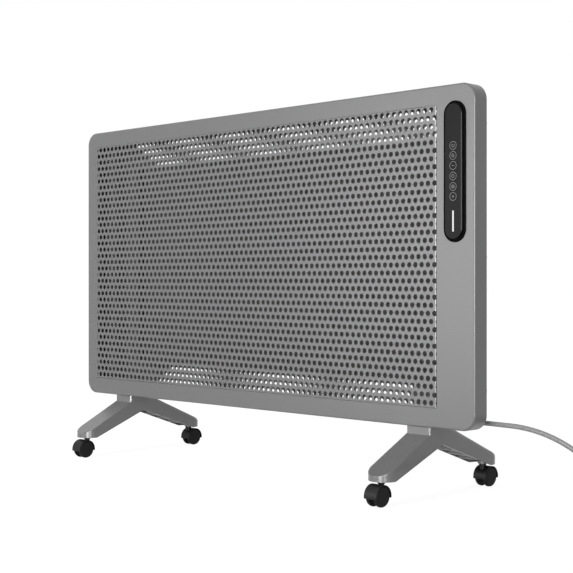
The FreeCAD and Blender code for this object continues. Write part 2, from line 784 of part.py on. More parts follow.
def pan_screw(name, size, length, head, head_height):
    """Screw with a plain round head on z = 0 and its shank below."""
    edge = f"{head} / 2"
    shank = f"{size} / 2"
    return turned(name, [("0", f"-({length})"), (shank, f"-({length})"), (shank, "0"), (edge, "0"),
                         (edge, head_height), ("0", head_height)])


def cover_screws():
    """Screws through the rear cover into the frame's return flange."""
    pattern = pan_screw("cover_screw", "cover_screw_size", "cover_screw_length", "cover_screw_head",
                        "cover_screw_head_height")
    pattern.Placement = Placement(Vector(), ALONG_Y)
    spots = [point(x, COVER_REAR, z) for x, z in COVER_SCREWS]
    node("cover_screws", group("cover_screws", pattern, spots))


# Heating element

def element_sheet(label, y_low, y_high):
    """One plain sheet the size of the element."""
    node(label, block(label, (ELEMENT_LEFT, ELEMENT_RIGHT), (y_low, y_high), (ELEMENT_BOTTOM, ELEMENT_TOP)))


def heating_foil():
    """Resistance foil etched as one strip that runs to and fro across the element."""
    left = number(f"{ELEMENT_LEFT} + foil_margin")
    right = number(f"{ELEMENT_RIGHT} - foil_margin")
    strip, pitch, thick = number("foil_strip"), number("foil_pitch"), number("foil_sheet")
    first = number(f"({ELEMENT_BOTTOM} + {ELEMENT_TOP}) / 2") - (FOIL_STRIPS - 1) / 2 * pitch - strip / 2
    y = number(FOIL_FACE)
    pieces = []
    for row in range(FOIL_STRIPS):
        z = first + pitch * row
        pieces.append(Part.makeBox(right - left, thick, strip, Vector(left, y, z)))
        if row:
            x = left if row % 2 else right - strip
            pieces.append(Part.makeBox(strip, thick, pitch - strip, Vector(x, y, z - pitch + strip)))
    strip_shape = pieces[0].multiFuse(pieces[1:]).removeSplitter()
    node("heating_foil", feature_of("heating_foil", strip_shape.Solids[0]))


def element_rail(label, side):
    """Upright channel that grips one end of the mica sandwich; side is -1 at the left, 1 at the right."""
    end = ELEMENT_LEFT if side < 0 else ELEMENT_RIGHT
    web = f"{end} + {side} * rail_sheet"
    lip = f"{end} + {side} * (rail_sheet - rail_width)"
    body = place(new_body(label), z=ELEMENT_BOTTOM)
    section = [(web, f"{MICA_FACE} - rail_sheet"), (lip, f"{MICA_FACE} - rail_sheet"), (lip, MICA_FACE),
               (end, MICA_FACE), (end, MICA_REAR), (lip, MICA_REAR), (lip, RAIL_REAR), (web, RAIL_REAR)]
    pad(body, polygon(sketch_on(body, "XY_Plane"), section), "element_height")
    node(label, body)


def element_spacers():
    """Ceramic posts from the tray to the rails, each with a foot that carries the reflector."""
    tall = f"({TRAY_INSIDE} - {RAIL_REAR})"
    foot, pin = "spacer_foot / 2", "spacer_pin / 2"
    pattern = turned("element_spacer", [("0", "0"), (foot, "0"), (foot, "reflector_gap"),
                                        (pin, "reflector_gap"), (pin, tall), ("0", tall)])
    pattern.Placement = Placement(Vector(), AGAINST_Y)
    spots = [point(x, TRAY_INSIDE, z) for x, z in SPACERS]
    node("element_spacers", group("element_spacers", pattern, spots))


def heat_reflector():
    """Bright sheet behind the element, held on the spacers' feet."""
    body = place(new_body("heat_reflector"), y=REFLECTOR_REAR)
    outline = rectangle(sketch_on(body, "XZ_Plane"), f"{ELEMENT_LEFT} - reflector_lap", ELEMENT_BOTTOM,
                        f"{ELEMENT_RIGHT} + reflector_lap", ELEMENT_TOP)
    pad(body, outline, "reflector_sheet")
    holes = circles(sketch_on(body, "XZ_Plane"), SPACERS, "spacer_pin + 2 * screw_gap")
    pocket(body, holes, "reflector_sheet", back=True)
    node("heat_reflector", body)


def thermal_cutout():
    """Snap-disc cut-out on a small plate, facing the element from the reflector."""
    z = f"({ELEMENT_TOP} - cutout_drop)"
    plate = block("cutout_base", ("element_shift - cutout_plate / 2", "element_shift + cutout_plate / 2"),
                  (f"{REFLECTOR_FACE} - cutout_plate_sheet", REFLECTOR_FACE),
                  (f"{z} - cutout_size / 2", f"{z} + cutout_size / 2"))
    disc = cylinder("cutout_disc", "cutout_size", "cutout_height", "element_shift", REFLECTOR_FACE, z,
                    AGAINST_Y)
    node("thermal_cutout", fuse("thermal_cutout", [plate, disc]))


def thermal_fuse():
    """One-shot fuse in a ceramic block beside the cut-out."""
    left = "element_shift + fuse_shift"
    z = f"({ELEMENT_TOP} - cutout_drop)"
    node("thermal_fuse", block("thermal_fuse", (left, f"{left} + fuse_length"),
                               (f"{REFLECTOR_FACE} - fuse_height", REFLECTOR_FACE),
                               (f"{z} - fuse_width / 2", f"{z} + fuse_width / 2")))


# Control panel

def control_bezel():
    """Black surround: a flange on the frame, a seat for the touch panel and a box behind for its board."""
    body = place(new_body("control_bezel"), y=FRONT_FACE)
    rim = slot(sketch_on(body, "XZ_Plane"), CONTROL_X, CONTROL_Z, "control_width", "control_height")
    pad(body, rim, "bezel_proud")
    fillet(body, edges_in_plane(1, "-bezel_proud"), "bezel_edge_radius")
    shaft = sketch_on(body, "XZ_Plane")
    slot(shaft, CONTROL_X, CONTROL_Z, "control_width - 2 * bezel_inset", "control_height - 2 * bezel_inset")
    pad(body, shaft, "frame_sheet + bezel_depth", back=True)
    seat = sketch_on(body, "XZ_Plane", "bezel_proud")
    slot(seat, CONTROL_X, CONTROL_Z, "touch_width + 2 * fit_gap", "touch_height + 2 * fit_gap")
    pocket(body, seat, "bezel_proud - touch_proud + touch_sheet")
    cavity = sketch_on(body, "XZ_Plane", f"-({BEZEL_REAR} + front_setback)")
    slot(cavity, CONTROL_X, CONTROL_Z, "control_width - 2 * bezel_inset - 2 * bezel_wall",
         "control_height - 2 * bezel_inset - 2 * bezel_wall")
    pocket(body, cavity, f"{BEZEL_REAR} - {BEZEL_CAVITY}", back=True)
    node("control_bezel", body)


def touch_panel():
    """Raised touch plate with a bevelled rim and a slot for the light bar."""
    body = place(new_body("touch_panel"), y=TOUCH_SEAT)
    plate = slot(sketch_on(body, "XZ_Plane"), CONTROL_X, CONTROL_Z, "touch_width", "touch_height")
    pad(body, plate, "touch_sheet")
    dress("PartDesign::Chamfer", body, edges_in_plane(1, "-touch_sheet"), Size="touch_bevel")
    bar = sketch_on(body, "XZ_Plane", "touch_sheet")
    bottom = f"{CONTROL_BOTTOM} + light_rise"
    rectangle(bar, f"{CONTROL_X} - light_width / 2 - light_gap", f"{bottom} - light_gap",
              f"{CONTROL_X} + light_width / 2 + light_gap", f"{bottom} + light_height + light_gap")
    pocket(body, bar, "light_depth")
    node("touch_panel", body)


def light_bar():
    """Light window set flush in the touch plate."""
    face = f"{FRONT_FACE} - touch_proud"
    bottom = f"{CONTROL_BOTTOM} + light_rise"
    node("light_bar", block("light_bar", (f"{CONTROL_X} - light_width / 2", f"{CONTROL_X} + light_width / 2"),
                            (face, f"{face} + light_depth"), (bottom, f"{bottom} + light_height")))


def touch_board():
    """Sensor board behind the touch plate, in the bezel's box."""
    body = place(new_body("touch_board"), y=BEZEL_CAVITY)
    inset = "2 * (bezel_inset + bezel_wall + touch_board_gap)"
    outline = slot(sketch_on(body, "XZ_Plane"), CONTROL_X, CONTROL_Z, f"control_width - {inset}",
                   f"control_height - {inset}")
    pad(body, outline, "board_sheet", back=True)
    node("touch_board", body)


def control_ribbon():
    """Flat ribbon from the touch board back and down to the power board."""
    start = f"({BEZEL_CAVITY} + board_sheet)"
    lane = f"({BEZEL_CAVITY} + board_sheet + ribbon_lane)"
    top = f"({CONTROL_BOTTOM} + ribbon_top)"
    foot = f"({BOARD_BOTTOM} + board_height - ribbon_foot)"
    body = place(new_body("control_ribbon"), x=BOARD_X)
    outer_lane, inner_foot = f"{lane} + ribbon_sheet", f"{foot} + ribbon_sheet"
    outline = [(start, top), (outer_lane, top), (outer_lane, inner_foot), (BOARD_FACE, inner_foot),
               (BOARD_FACE, foot), (lane, foot), (lane, f"{top} - ribbon_sheet"),
               (start, f"{top} - ribbon_sheet")]
    pad(body, polygon(sketch_on(body, "YZ_Plane"), outline), "ribbon_width", both=True)
    node("control_ribbon", body)


# Electrics

def power_board():
    """Power board on four spacers in front of the cover's right-hand edge."""
    body = place(new_body("power_board"), y=BOARD_REAR)
    outline = rectangle(sketch_on(body, "XZ_Plane"), BOARD_LEFT, BOARD_BOTTOM, f"{BOARD_LEFT} + board_width",
                        f"{BOARD_BOTTOM} + board_height")
    pad(body, outline, "board_sheet")
    holes = circles(sketch_on(body, "XZ_Plane"), BOARD_SCREWS, "board_screw_size + 2 * screw_gap")
    pocket(body, holes, "board_sheet", back=True)
    node("power_board", body)
    bore, wall = "board_screw_size / 2 + screw_gap", "board_spacer / 2"
    spacer = turned("board_spacer", [(bore, "0"), (wall, "0"), (wall, "board_standoff"),
                                     (bore, "board_standoff")])
    spacer.Placement = Placement(Vector(), AGAINST_Y)
    node("board_spacers", group("board_spacers", spacer, [point(x, FRAME_REAR, z) for x, z in BOARD_SCREWS]))
    screw = pan_screw("board_screw", "board_screw_size", "board_sheet + board_standoff + cover_sheet",
                      "board_screw_head", "board_screw_head_height")
    screw.Placement = Placement(Vector(), AGAINST_Y)
    node("board_screws", group("board_screws", screw, [point(x, BOARD_FACE, z) for x, z in BOARD_SCREWS]))


def heater_relay():
    """Relay that switches the element."""
    bottom = f"{BOARD_BOTTOM} + relay_rise"
    width = (f"{BOARD_X} - relay_width / 2", f"{BOARD_X} + relay_width / 2")
    depth = (f"{BOARD_FACE} - relay_depth", BOARD_FACE)
    node("heater_relay", block("heater_relay", width, depth, (bottom, f"{bottom} + relay_height")))


def filter_capacitor():
    """Round capacitor standing on the power board."""
    can = cylinder("filter_capacitor", "capacitor_size", "capacitor_depth", BOARD_X, BOARD_FACE,
                   f"{BOARD_BOTTOM} + capacitor_rise", AGAINST_Y)
    node("filter_capacitor", can)


def terminal_block():
    """Terminal block on the tray's rear wall, with one well for each conductor."""
    bottom = f"({TRAY_FLOOR} + terminal_lift)"
    left = f"({TERMINAL_RIGHT} - terminal_length)"
    case = block("terminal_case", (left, TERMINAL_RIGHT), (f"{TRAY_INSIDE} - terminal_depth", TRAY_INSIDE),
                 (bottom, TERMINAL_TOP))
    middles = [f"{left} + terminal_length * {2 * index + 1} / {2 * TERMINAL_WELLS}"
               for index in range(TERMINAL_WELLS)]
    wells = [cylinder("terminal_well", "terminal_well", "terminal_well_depth", x,
                      f"{TRAY_INSIDE} - terminal_depth", f"{TERMINAL_TOP} - terminal_height / 2", ALONG_Y)
             for x in middles]
    node("terminal_block", cut("terminal_block", case, fuse("terminal_wells", wells)))


def tip_switch():
    """Tip-over switch: an open case and the cross pin that its pendulum swings on, fore and aft."""
    low, high = f"({BOARD_X} - tip_case_width / 2)", f"({BOARD_X} + tip_case_width / 2)"
    front = f"({FRAME_REAR} - tip_case_depth)"
    top = f"({TIP_BOTTOM} + tip_case_height)"
    shell = block("tip_case_shell", (low, high), (front, FRAME_REAR), (TIP_BOTTOM, top))
    room = block("tip_case_room", (f"{low} + tip_case_wall", f"{high} - tip_case_wall"),
                 (f"{front} - tip_case_wall", f"{FRAME_REAR} - tip_case_wall"),
                 (f"{TIP_BOTTOM} + tip_case_wall", f"{top} - tip_case_wall"))
    axis = (low, TIP_PIN_Y, TIP_PIN_Z, ALONG_X)
    bore = cylinder("tip_case_bore", "tip_pin_size + 2 * running_gap", "tip_case_width", *axis)
    node("tip_switch_case", cut("tip_switch_case", shell, fuse("tip_case_cuts", [room, bore])))
    node("tip_switch_pin", cylinder("tip_switch_pin", "tip_pin_size", "tip_case_width", *axis))


def tip_pendulum():
    """The tip-over switch's pendulum: a hub on the cross pin, an arm and a bob."""
    start = f"({BOARD_X} - tip_hub_length / 2)"
    bob_z = f"({TIP_PIN_Z} - tip_arm_length)"
    axis = (start, TIP_PIN_Y, TIP_PIN_Z, ALONG_X)
    hub = cylinder("tip_hub", "tip_hub", "tip_hub_length", *axis)
    bob = cylinder("tip_bob", "tip_bob", "tip_hub_length", start, TIP_PIN_Y, bob_z, ALONG_X)
    arm = block("tip_arm", (f"{BOARD_X} - tip_arm_width / 2", f"{BOARD_X} + tip_arm_width / 2"),
                (f"{TIP_PIN_Y} - tip_arm_width / 2", f"{TIP_PIN_Y} + tip_arm_width / 2"), (bob_z, TIP_PIN_Z))
    eye = cylinder("tip_eye", "tip_pin_size + 2 * running_gap", "tip_hub_length", *axis)
    node("tip_switch_pendulum", cut("tip_switch_pendulum", fuse("tip_blank", [hub, bob, arm]), eye))


def room_sensor():
    """Temperature bead in a clip on the cover."""
    bottom = "(ground_clearance + sensor_rise)"
    clip = block("sensor_clip", (BOARD_LEFT, f"{BOARD_LEFT} + sensor_width"),
                 (f"{FRAME_REAR} - sensor_depth", FRAME_REAR), (bottom, f"{bottom} + sensor_height"))
    bead = cylinder("sensor_bead", "sensor_bead", "sensor_bead_length", f"{BOARD_LEFT} + sensor_width / 2",
                    f"{FRAME_REAR} - sensor_depth", f"{bottom} + sensor_height / 2", AGAINST_Y)
    node("room_sensor", fuse("room_sensor", [clip, bead]))


def rounded_path(points):
    """Straight runs joined by tangent arcs as large as the shorter run allows, with the arcs' radii."""
    edges, radii = [], []
    start = points[0]
    for before, corner, after in zip(points, points[1:], points[2:]):
        come, leave = corner - before, after - corner
        half_turn = come.getAngle(leave) / 2
        trim = BEND_SHARE * min(come.Length, leave.Length)
        radius = trim / math.tan(half_turn)
        first = corner - come.normalize() * trim
        last = corner + leave.normalize() * trim
        inward = (first + last - corner * 2).normalize()
        middle = corner + inward * (radius / math.cos(half_turn) - radius)
        edges += [Part.LineSegment(start, first).toShape(), Part.Arc(first, middle, last).toShape()]
        radii.append(radius)
        start = last
    edges.append(Part.LineSegment(start, points[-1]).toShape())
    return Part.Wire(edges), radii


def tube(path, size):
    """A round tube of a diameter along a path."""
    first = path.OrderedEdges[0]
    start = first.valueAt(first.FirstParameter)
    heading = first.tangentAt(first.FirstParameter)
    ring = Part.Wire(Part.makeCircle(size / 2, start, heading))
    return path.makePipeShell([ring], True, False)


def internal_wiring():
    """Conductors: the lead's tail, and from the terminals one to the element's rail and one to the board."""
    size = number("wire_size")
    top = number(TERMINAL_TOP)
    right = number(TERMINAL_RIGHT)
    middle = number(f"{TRAY_INSIDE} - terminal_depth / 2")
    rail_x = number(f"{ELEMENT_RIGHT} + rail_sheet - rail_width / 2")
    rail_y = number(f"({MICA_FACE} + {MICA_REAR}) / 2")
    rail_z = number(ELEMENT_BOTTOM)
    board_face = number(BOARD_FACE)
    board_x = number(f"{BOARD_LEFT} + board_screw_inset + board_spacer")
    board_z = number(f"{BOARD_BOTTOM} + wire_landing")
    rise = (rail_z - top) * WIRE_RISE_SHARE
    first_x, second_x = right - number("terminal_length") + 2 * size, right - 2 * size
    to_rail = [Vector(first_x, middle, top), Vector(first_x, middle, top + rise),
               Vector(rail_x, rail_y, rail_z - rise), Vector(rail_x, rail_y, rail_z)]
    lane = board_face - number("wire_reach")
    to_board = [Vector(second_x, middle, top), Vector(second_x, middle, top + rise),
                Vector((second_x + board_x) / 2, lane, board_z - rise), Vector(board_x, lane - size, board_z),
                Vector(board_x, board_face, board_z)]
    wires = [tube(rounded_path(points)[0], size) for points in (to_rail, to_board)]
    tail = Part.makeCylinder(number("lead_diameter") / 2, number("tail_length"),
                             Vector(right, number(EXIT_Y), number(EXIT_Z)), Vector(1, 0, 0))
    node("internal_wiring", feature_of("internal_wiring", Part.makeCompound(wires + [tail])))


# Legs

def leg_outline():
    """Side outline of a leg, as y and z, from the neck down the front arm and back along the rear one."""
    return [("-neck_front", "ground_clearance"), ("-neck_front", "ground_clearance - neck_drop"),
            ("-leg_reach", "nose_top_front"), ("-leg_reach", "leg_underside"),
            ("-arch_foot_front", "leg_underside"), ("-arch_apex_shift", "arch_apex_height"),
            ("arch_foot_rear", "leg_underside"), ("leg_reach", "leg_underside"),
            ("leg_reach", "nose_top_rear"), ("neck_rear", "ground_clearance")]


def hollow_outline():
    """Side outline of the room under a leg's roof, open below."""
    front_slope = "(ground_clearance - neck_drop - nose_top_front) / (leg_reach - neck_front)"
    rear_slope = "(ground_clearance - nose_top_rear) / (leg_reach - neck_rear)"
    nose_front = f"nose_top_front + leg_wall * {front_slope} - leg_roof"
    nose_rear = f"nose_top_rear + leg_wall * {rear_slope} - leg_roof"
    neck_z = f"ground_clearance - neck_drop + leg_wall * {front_slope} - leg_roof"
    neck_y = f"neck_rear + (neck_floor - leg_roof) / ({rear_slope})"
    inside = "(leg_reach - leg_wall)"
    below = "leg_underside - leg_roof"
    neck_front = "leg_wall - neck_front"
    return [(neck_front, NECK_CEILING), (neck_front, neck_z), (f"-{inside}", nose_front),
            (f"-{inside}", below), (inside, below), (inside, nose_rear), (neck_y, NECK_CEILING)]


def leg_solid(outline, width, reach, nose):
    """A side outline raised evenly both ways, with its two ends rounded in plan."""
    body = new_body("leg_solid")
    pad(body, polygon(sketch_on(body, "YZ_Plane"), outline), width, both=True)
    ends = [edges_in_plane(1, reach), edges_in_plane(1, f"-{reach}")]
    fillet(body, lambda edge: any(test(edge) for test in ends) and is_upright(edge), nose)
    return body


def is_upright(edge):
    """Whether an edge is a straight line along z."""
    low, high = (vertex.Point for vertex in edge.Vertexes)
    return abs(low.x - high.x) < SAME_PLACE and abs(low.y - high.y) < SAME_PLACE


def arm_rim(nose_y, nose_z, neck_y, neck_z):
    """A test for the upper rim of one arm, which slopes from the nose up to the neck."""
    nose, neck = point("0", nose_y, nose_z), point("0", neck_y, neck_z)
    slope = (neck.z - nose.z) / (neck.y - nose.y)

    def wanted(edge):
        spots = [vertex.Point for vertex in edge.Vertexes]
        on_slope = all(abs(nose.z + slope * (spot.y - nose.y) - spot.z) < SAME_PLACE for spot in spots)
        return on_slope and any(abs(spot.y - neck.y) > SAME_PLACE for spot in spots)
    return wanted


def leg(label, side):
    """Moulded leg: a hollow roofed beam with cross ribs, two caster sockets and holes for its screws."""
    outer = leg_solid(leg_outline(), "leg_width", "leg_reach", "leg_width / 2 - leg_nose_flat")
    front_rim = arm_rim("-leg_reach", "nose_top_front", "-neck_front", "ground_clearance - neck_drop")
    rear_rim = arm_rim("leg_reach", "nose_top_rear", "neck_rear", "ground_clearance")
    at_neck = edges_in_plane(1, "-neck_front")
    dress("PartDesign::Chamfer", outer, lambda edge: at_neck(edge) and is_upright(edge), Size="neck_bevel")
    fillet(outer, front_rim, "front_rim_radius")
    fillet(outer, rear_rim, "rear_rim_radius")
    inner = leg_solid(hollow_outline(), "leg_width - 2 * leg_wall", "(leg_reach - leg_wall)",
                      "leg_width / 2 - leg_wall - leg_nose_flat")
    sockets = [cylinder("caster_socket", "socket_size", "ground_clearance", "0", f"{end} * caster_reach", "0")
               for end in (-1, 1)]
    ribs = [block("leg_rib", ("-leg_width / 2", "leg_width / 2"),
                  (f"{y} - rib_sheet / 2", f"{y} + rib_sheet / 2"), ("0", "ground_clearance"))
            for y in LEG_RIBS]
    inside = common("leg_inside", [outer, fuse("leg_stiffeners", sockets + ribs)])
    shell = fuse("leg_shell", [cut("leg_roofed", outer, inner), inside])
    bores = [cylinder("stem_bore", "stem_size + 2 * running_gap", "socket_depth", "0",
                      f"{end} * caster_reach", "leg_underside") for end in (-1, 1)]
    holes = [cylinder("leg_screw_hole", "leg_screw_size + 2 * screw_gap", "neck_floor", x, y, NECK_CEILING)
             for x, y in LEG_SCREWS]
    whole = cut(label, shell, fuse("leg_bores", bores + holes))
    node(label, place(whole, x=f"{side} * leg_spacing / 2"))


def leg_fasteners():
    """Screws up through both legs' necks, and the nut plates that they draw up inside the casing."""
    length = "neck_floor + frame_sheet + nut_plate_sheet + leg_screw_tip"
    pattern = pan_screw("leg_screw", "leg_screw_size", length, "leg_screw_head", "leg_screw_head_height")
    pattern.Placement = Placement(Vector(), Rotation(Vector(1, 0, 0), 180))
    middles = [f"{side} * leg_spacing / 2" for side in (-1, 1)]
    spots = [point(f"{middle} + {x}", y, NECK_CEILING) for middle in middles for x, y in LEG_SCREWS]
    node("leg_screws", group("leg_screws", pattern, spots))
    body = new_body("nut_plate")
    pad(body, rectangle(sketch_on(body, "XY_Plane"), "-nut_plate_width / 2", "-nut_plate_length / 2",
                        "nut_plate_width / 2", "nut_plate_length / 2"), "nut_plate_sheet")
    bores = [(f"{side} * leg_screw_spread / 2", "0") for side in (-1, 1)]
    holes = circles(sketch_on(body, "XY_Plane"), bores, "leg_screw_size + 2 * screw_gap")
    pocket(body, holes, "nut_plate_sheet", back=True)
    seats = [point(middle, y, z) for middle in middles
             for y, z in (("-leg_screw_front", FLOOR_INSIDE), ("-leg_screw_rear", TRAY_FLOOR))]
    node("leg_nut_plates", group("leg_nut_plates", body, seats))


# Casters

def caster_stem(label, x, y):
    """Steel stem: pressed into the leg above its collar, a swivel journal below."""
    foot = f"{STEM_COLLAR_BOTTOM} - stem_journal_length"
    body = turned(label, [("0", foot), ("stem_journal / 2", foot), ("stem_journal / 2", STEM_COLLAR_BOTTOM),
                          ("stem_collar / 2", STEM_COLLAR_BOTTOM), ("stem_collar / 2", "leg_underside"),
                          ("stem_size / 2", "leg_underside"), ("stem_size / 2", "leg_underside + stem_depth"),
                          ("0", "leg_underside + stem_depth")])
    node(label, place(body, x, y))


def hood_sector(name, radius, half_width, wrap="hood_wrap"):
    """Slice of a cylinder about the axle that opens from the outward side over the top."""
    start = math.radians(number("hood_start"))
    along = Vector(0, -math.cos(start), math.sin(start))
    across = Vector(0, math.sin(start), math.cos(start))
    thing = doc.addObject("Part::Cylinder", name)
    bind(thing, Radius=radius, Height=f"2 * ({half_width})", Angle=wrap)
    turn = Rotation(along, across, Vector(-1, 0, 0), "XYZ")
    return place(thing, half_width, "-caster_offset", "wheel_radius", turn)


def caster_hood(label, x, y, turn):
    """Moulded hood over both wheels, with a middle web that carries the axle and the swivel bore."""
    rim = cut("hood_rim", hood_sector("hood_outside", HOOD_OUTSIDE, HOOD_HALF),
              hood_sector("hood_inside", HOOD_INSIDE, HOOD_HALF, "360"))
    web = hood_sector("hood_web", HOOD_OUTSIDE, "hood_web / 2")
    hub = cylinder("hood_hub", "2 * hood_hub", "hood_web", "-hood_web / 2", "-caster_offset", "wheel_radius",
                   ALONG_X)
    foot = f"({STEM_COLLAR_BOTTOM} - stem_journal_length - stem_play)"
    boss = cylinder("hood_boss", "hood_web", f"{HOOD_TOP} - {foot} + hood_sheet", "0", "0",
                    f"{foot} - hood_sheet")
    axle_bore = cylinder("hood_axle_bore", "axle_size + 2 * running_gap", "2 * hood_web", "-hood_web",
                         "-caster_offset", "wheel_radius", ALONG_X)
    stem_bore = cylinder("hood_stem_bore", "stem_journal + 2 * running_gap", "ground_clearance", "0", "0",
                         foot)
    whole = cut(label, fuse("hood_blank", [rim, web, hub, boss]), fuse("hood_bores", [axle_bore, stem_bore]))
    node(label, place(whole, x, y, turn=turn))


def caster_wheel(label, x, y, side):
    """One of the twin wheels, with a crowned tread and a blind bore; side is -1 or 1 along x."""
    bore = "axle_size / 2 + running_gap"
    depth = "axle_length / 2 - hood_web / 2 - wheel_play + wheel_end_play"
    body = turned(label, [(bore, "0"), ("wheel_radius", "0"), ("wheel_radius", "wheel_width"),
                          ("0", "wheel_width"), ("0", depth), (bore, depth)])
    radius = number("wheel_radius")
    fillet(body, circle_edges(radius, number("wheel_width")), "wheel_crown")
    fillet(body, circle_edges(radius, 0.0), "wheel_inner_edge")
    node(label, place(body, f"{x} + {side} * (hood_web / 2 + wheel_play)", y, "wheel_radius",
                      ALONG_X if side > 0 else AGAINST_X))


def caster(name, side, end):
    """One caster: its wheels stand outward of the stem, to the front or to the rear."""
    x = f"{side} * leg_spacing / 2"
    y = f"{end} * caster_reach"
    axle_y = f"{end} * (caster_reach + caster_offset)"
    caster_stem(f"{name}_stem", x, y)
    caster_hood(f"{name}_hood", x, y, HALF_TURN if end > 0 else UPRIGHT)
    axle_x = f"{x} - axle_length / 2"
    node(f"{name}_axle",
         cylinder(f"{name}_axle", "axle_size", "axle_length", axle_x, axle_y, "wheel_radius", ALONG_X))
    caster_wheel(f"{name}_wheel_left", x, axle_y, -1)
    caster_wheel(f"{name}_wheel_right", x, axle_y, 1)


# Mains lead

def cord_gland():
    """Tapered strain relief, snapped through the tray's right-hand wall."""
    wall, inner = "-cover_sheet", "-cover_sheet - gland_collar_length"
    body = turned("cord_gland", [("0", inner), ("gland_collar / 2", inner), ("gland_collar / 2", wall),
                                 ("gland_neck / 2", wall), ("gland_neck / 2", "0"), ("gland_root / 2", "0"),
                                 ("gland_tip / 2", "gland_length"), ("0", "gland_length")])
    node("cord_gland", place(body, TRAY_SIDE, EXIT_Y, EXIT_Z, ALONG_X))


def mains_lead():
    """The lead's free stretch, from its gland down to the floor and up to its coil."""
    size = number("lead_diameter")
    start = point(f"{TRAY_SIDE} + gland_length", EXIT_Y, EXIT_Z)
    end = point(f"coil_x + {COIL_START_RADIUS}", "coil_y - lead_diameter", COIL_Z)
    path, radii = rounded_path([start, *[Vector(*spot) for spot in LEAD_ROUTE], end])
    solid = tube(path, size)
    print("lead radii", [round(radius, 1) for radius in radii], "length", round(path.Length, 1))
    print("lead volume over section times length", solid.Volume / (math.pi * size ** 2 / 4 * path.Length))
    node("mains_lead", feature_of("mains_lead", solid))


def coil_state(quarter):
    """Place and heading on the coil after some quarter turns.

    The coil winds inwards on the floor at a steady rate, climbs a layer in the half turn in which it
    reverses, winds outwards on top and leads out to the plug's place and height in its last quarter.
    """
    pitch, core = number("coil_pitch"), number("coil_core")
    low, high = number(COIL_Z), number(COIL_TOP_Z)
    last = COIL_QUARTERS_IN + 2 + COIL_QUARTERS_OUT
    beyond = quarter - COIL_QUARTERS_IN - 1
    radius = core + pitch / 4 * (abs(beyond) - 1)
    rate = 0.0 if quarter in (0, COIL_QUARTERS_IN + 1, last) else math.copysign(pitch / 4, beyond)
    height = low if beyond < 0 else high
    climb = 0.0
    if beyond == 0:
        height = (low + high) / 2
        climb = CLIMB_SHARE * (high - low)
    if quarter == last:
        height = number("plug_height / 2")
        radius = number(COIL_END_RADIUS)
    angle = quarter * math.pi / 2
    out = Vector(math.cos(angle), math.sin(angle), 0)
    onward = Vector(-math.sin(angle), math.cos(angle), 0)
    spot = Vector(number("coil_x"), number("coil_y"), height) + out * radius
    heading = out * rate + onward * (radius * math.pi / 2) + Vector(0, 0, climb)
    return spot, heading.normalize()


def tangent_arc(start, heading, end):
    """The arc that leaves a point along a heading and ends at another point."""
    chord = end - start
    along = Vector(chord).normalize()
    swing = heading.getAngle(chord)
    aside = (heading - along * heading.dot(along)).normalize()
    middle = (start + end) * 0.5 + aside * (chord.Length / 2 * math.tan(swing / 2))
    return Part.Arc(start, middle, end).toShape()


def biarc(start, leave, end, arrive):
    """Two arcs that join two points smoothly, each in its own heading."""
    gap = end - start
    sum_way = leave + arrive
    spread = 2 * (1 - leave.dot(arrive))
    slope = gap.dot(sum_way)
    reach = (math.sqrt(slope ** 2 + spread * gap.dot(gap)) - slope) / spread
    middle = (start + end + (leave - arrive) * reach) * 0.5
    second = tangent_arc(end, arrive * -1, middle)
    return [tangent_arc(start, leave, middle), second.reversed()]


def self_gap(path, size):
    """Least gap between turns of a tube: the distance between points that are over a half turn apart."""
    points = path.discretize(Distance=GAP_STEP)
    skip = int(math.pi * number("coil_core - coil_pitch") / GAP_STEP)
    return min(points[index].distanceToPoint(other)
               for index in range(len(points) - skip) for other in points[index + skip:]) - size


def lead_coil():
    """The rest of the lead as a tied coil of two layers, in one unbroken tube with straight ends."""
    size = number("lead_diameter")
    last = COIL_QUARTERS_IN + 2 + COIL_QUARTERS_OUT
    states = [coil_state(quarter) for quarter in range(last + 1)]
    (start, leave), (end, arrive) = states[0], states[-1]
    edges = [Part.LineSegment(start - leave * size, start).toShape()]
    for (here, away), (there, come) in zip(states, states[1:]):
        edges += biarc(here, away, there, come)
    edges.append(Part.LineSegment(end, end + arrive * size).toShape())
    path = Part.Wire(edges)
    gap = self_gap(path, size)
    print("coil length", round(path.Length, 1), "least gap to itself", round(gap, 2))
    if gap < LEAST_SELF_GAP:
        raise ValueError("the coil's turns lie too close")
    node("lead_coil", feature_of("lead_coil", tube(path, size)))


def coil_tie():
    """Flat strap round the bundle of turns, on the side away from the lead's entry."""
    outer_turn = f"(coil_core + coil_pitch * {COIL_QUARTERS_IN - 2} / 4)"
    far = f"coil_x - {outer_turn} - lead_diameter / 2 - tie_slack"
    near = "coil_x - coil_core + coil_pitch / 4 + lead_diameter / 2 + 2 * tie_slack"
    low, high = "coil_lift - tie_slack", f"{COIL_TOP_Z} + lead_diameter / 2 + tie_slack"
    span = ("coil_y - tie_width / 2", "coil_y + tie_width / 2")
    strap = block("tie_strap", (f"{far} - tie_sheet", f"{near} + tie_sheet"), span,
                  (f"{low} - tie_sheet", f"{high} + tie_sheet"))
    room = block("tie_room", (far, near), ("coil_y - tie_width", "coil_y + tie_width"), (low, high))
    node("coil_tie", cut("coil_tie", strap, room))


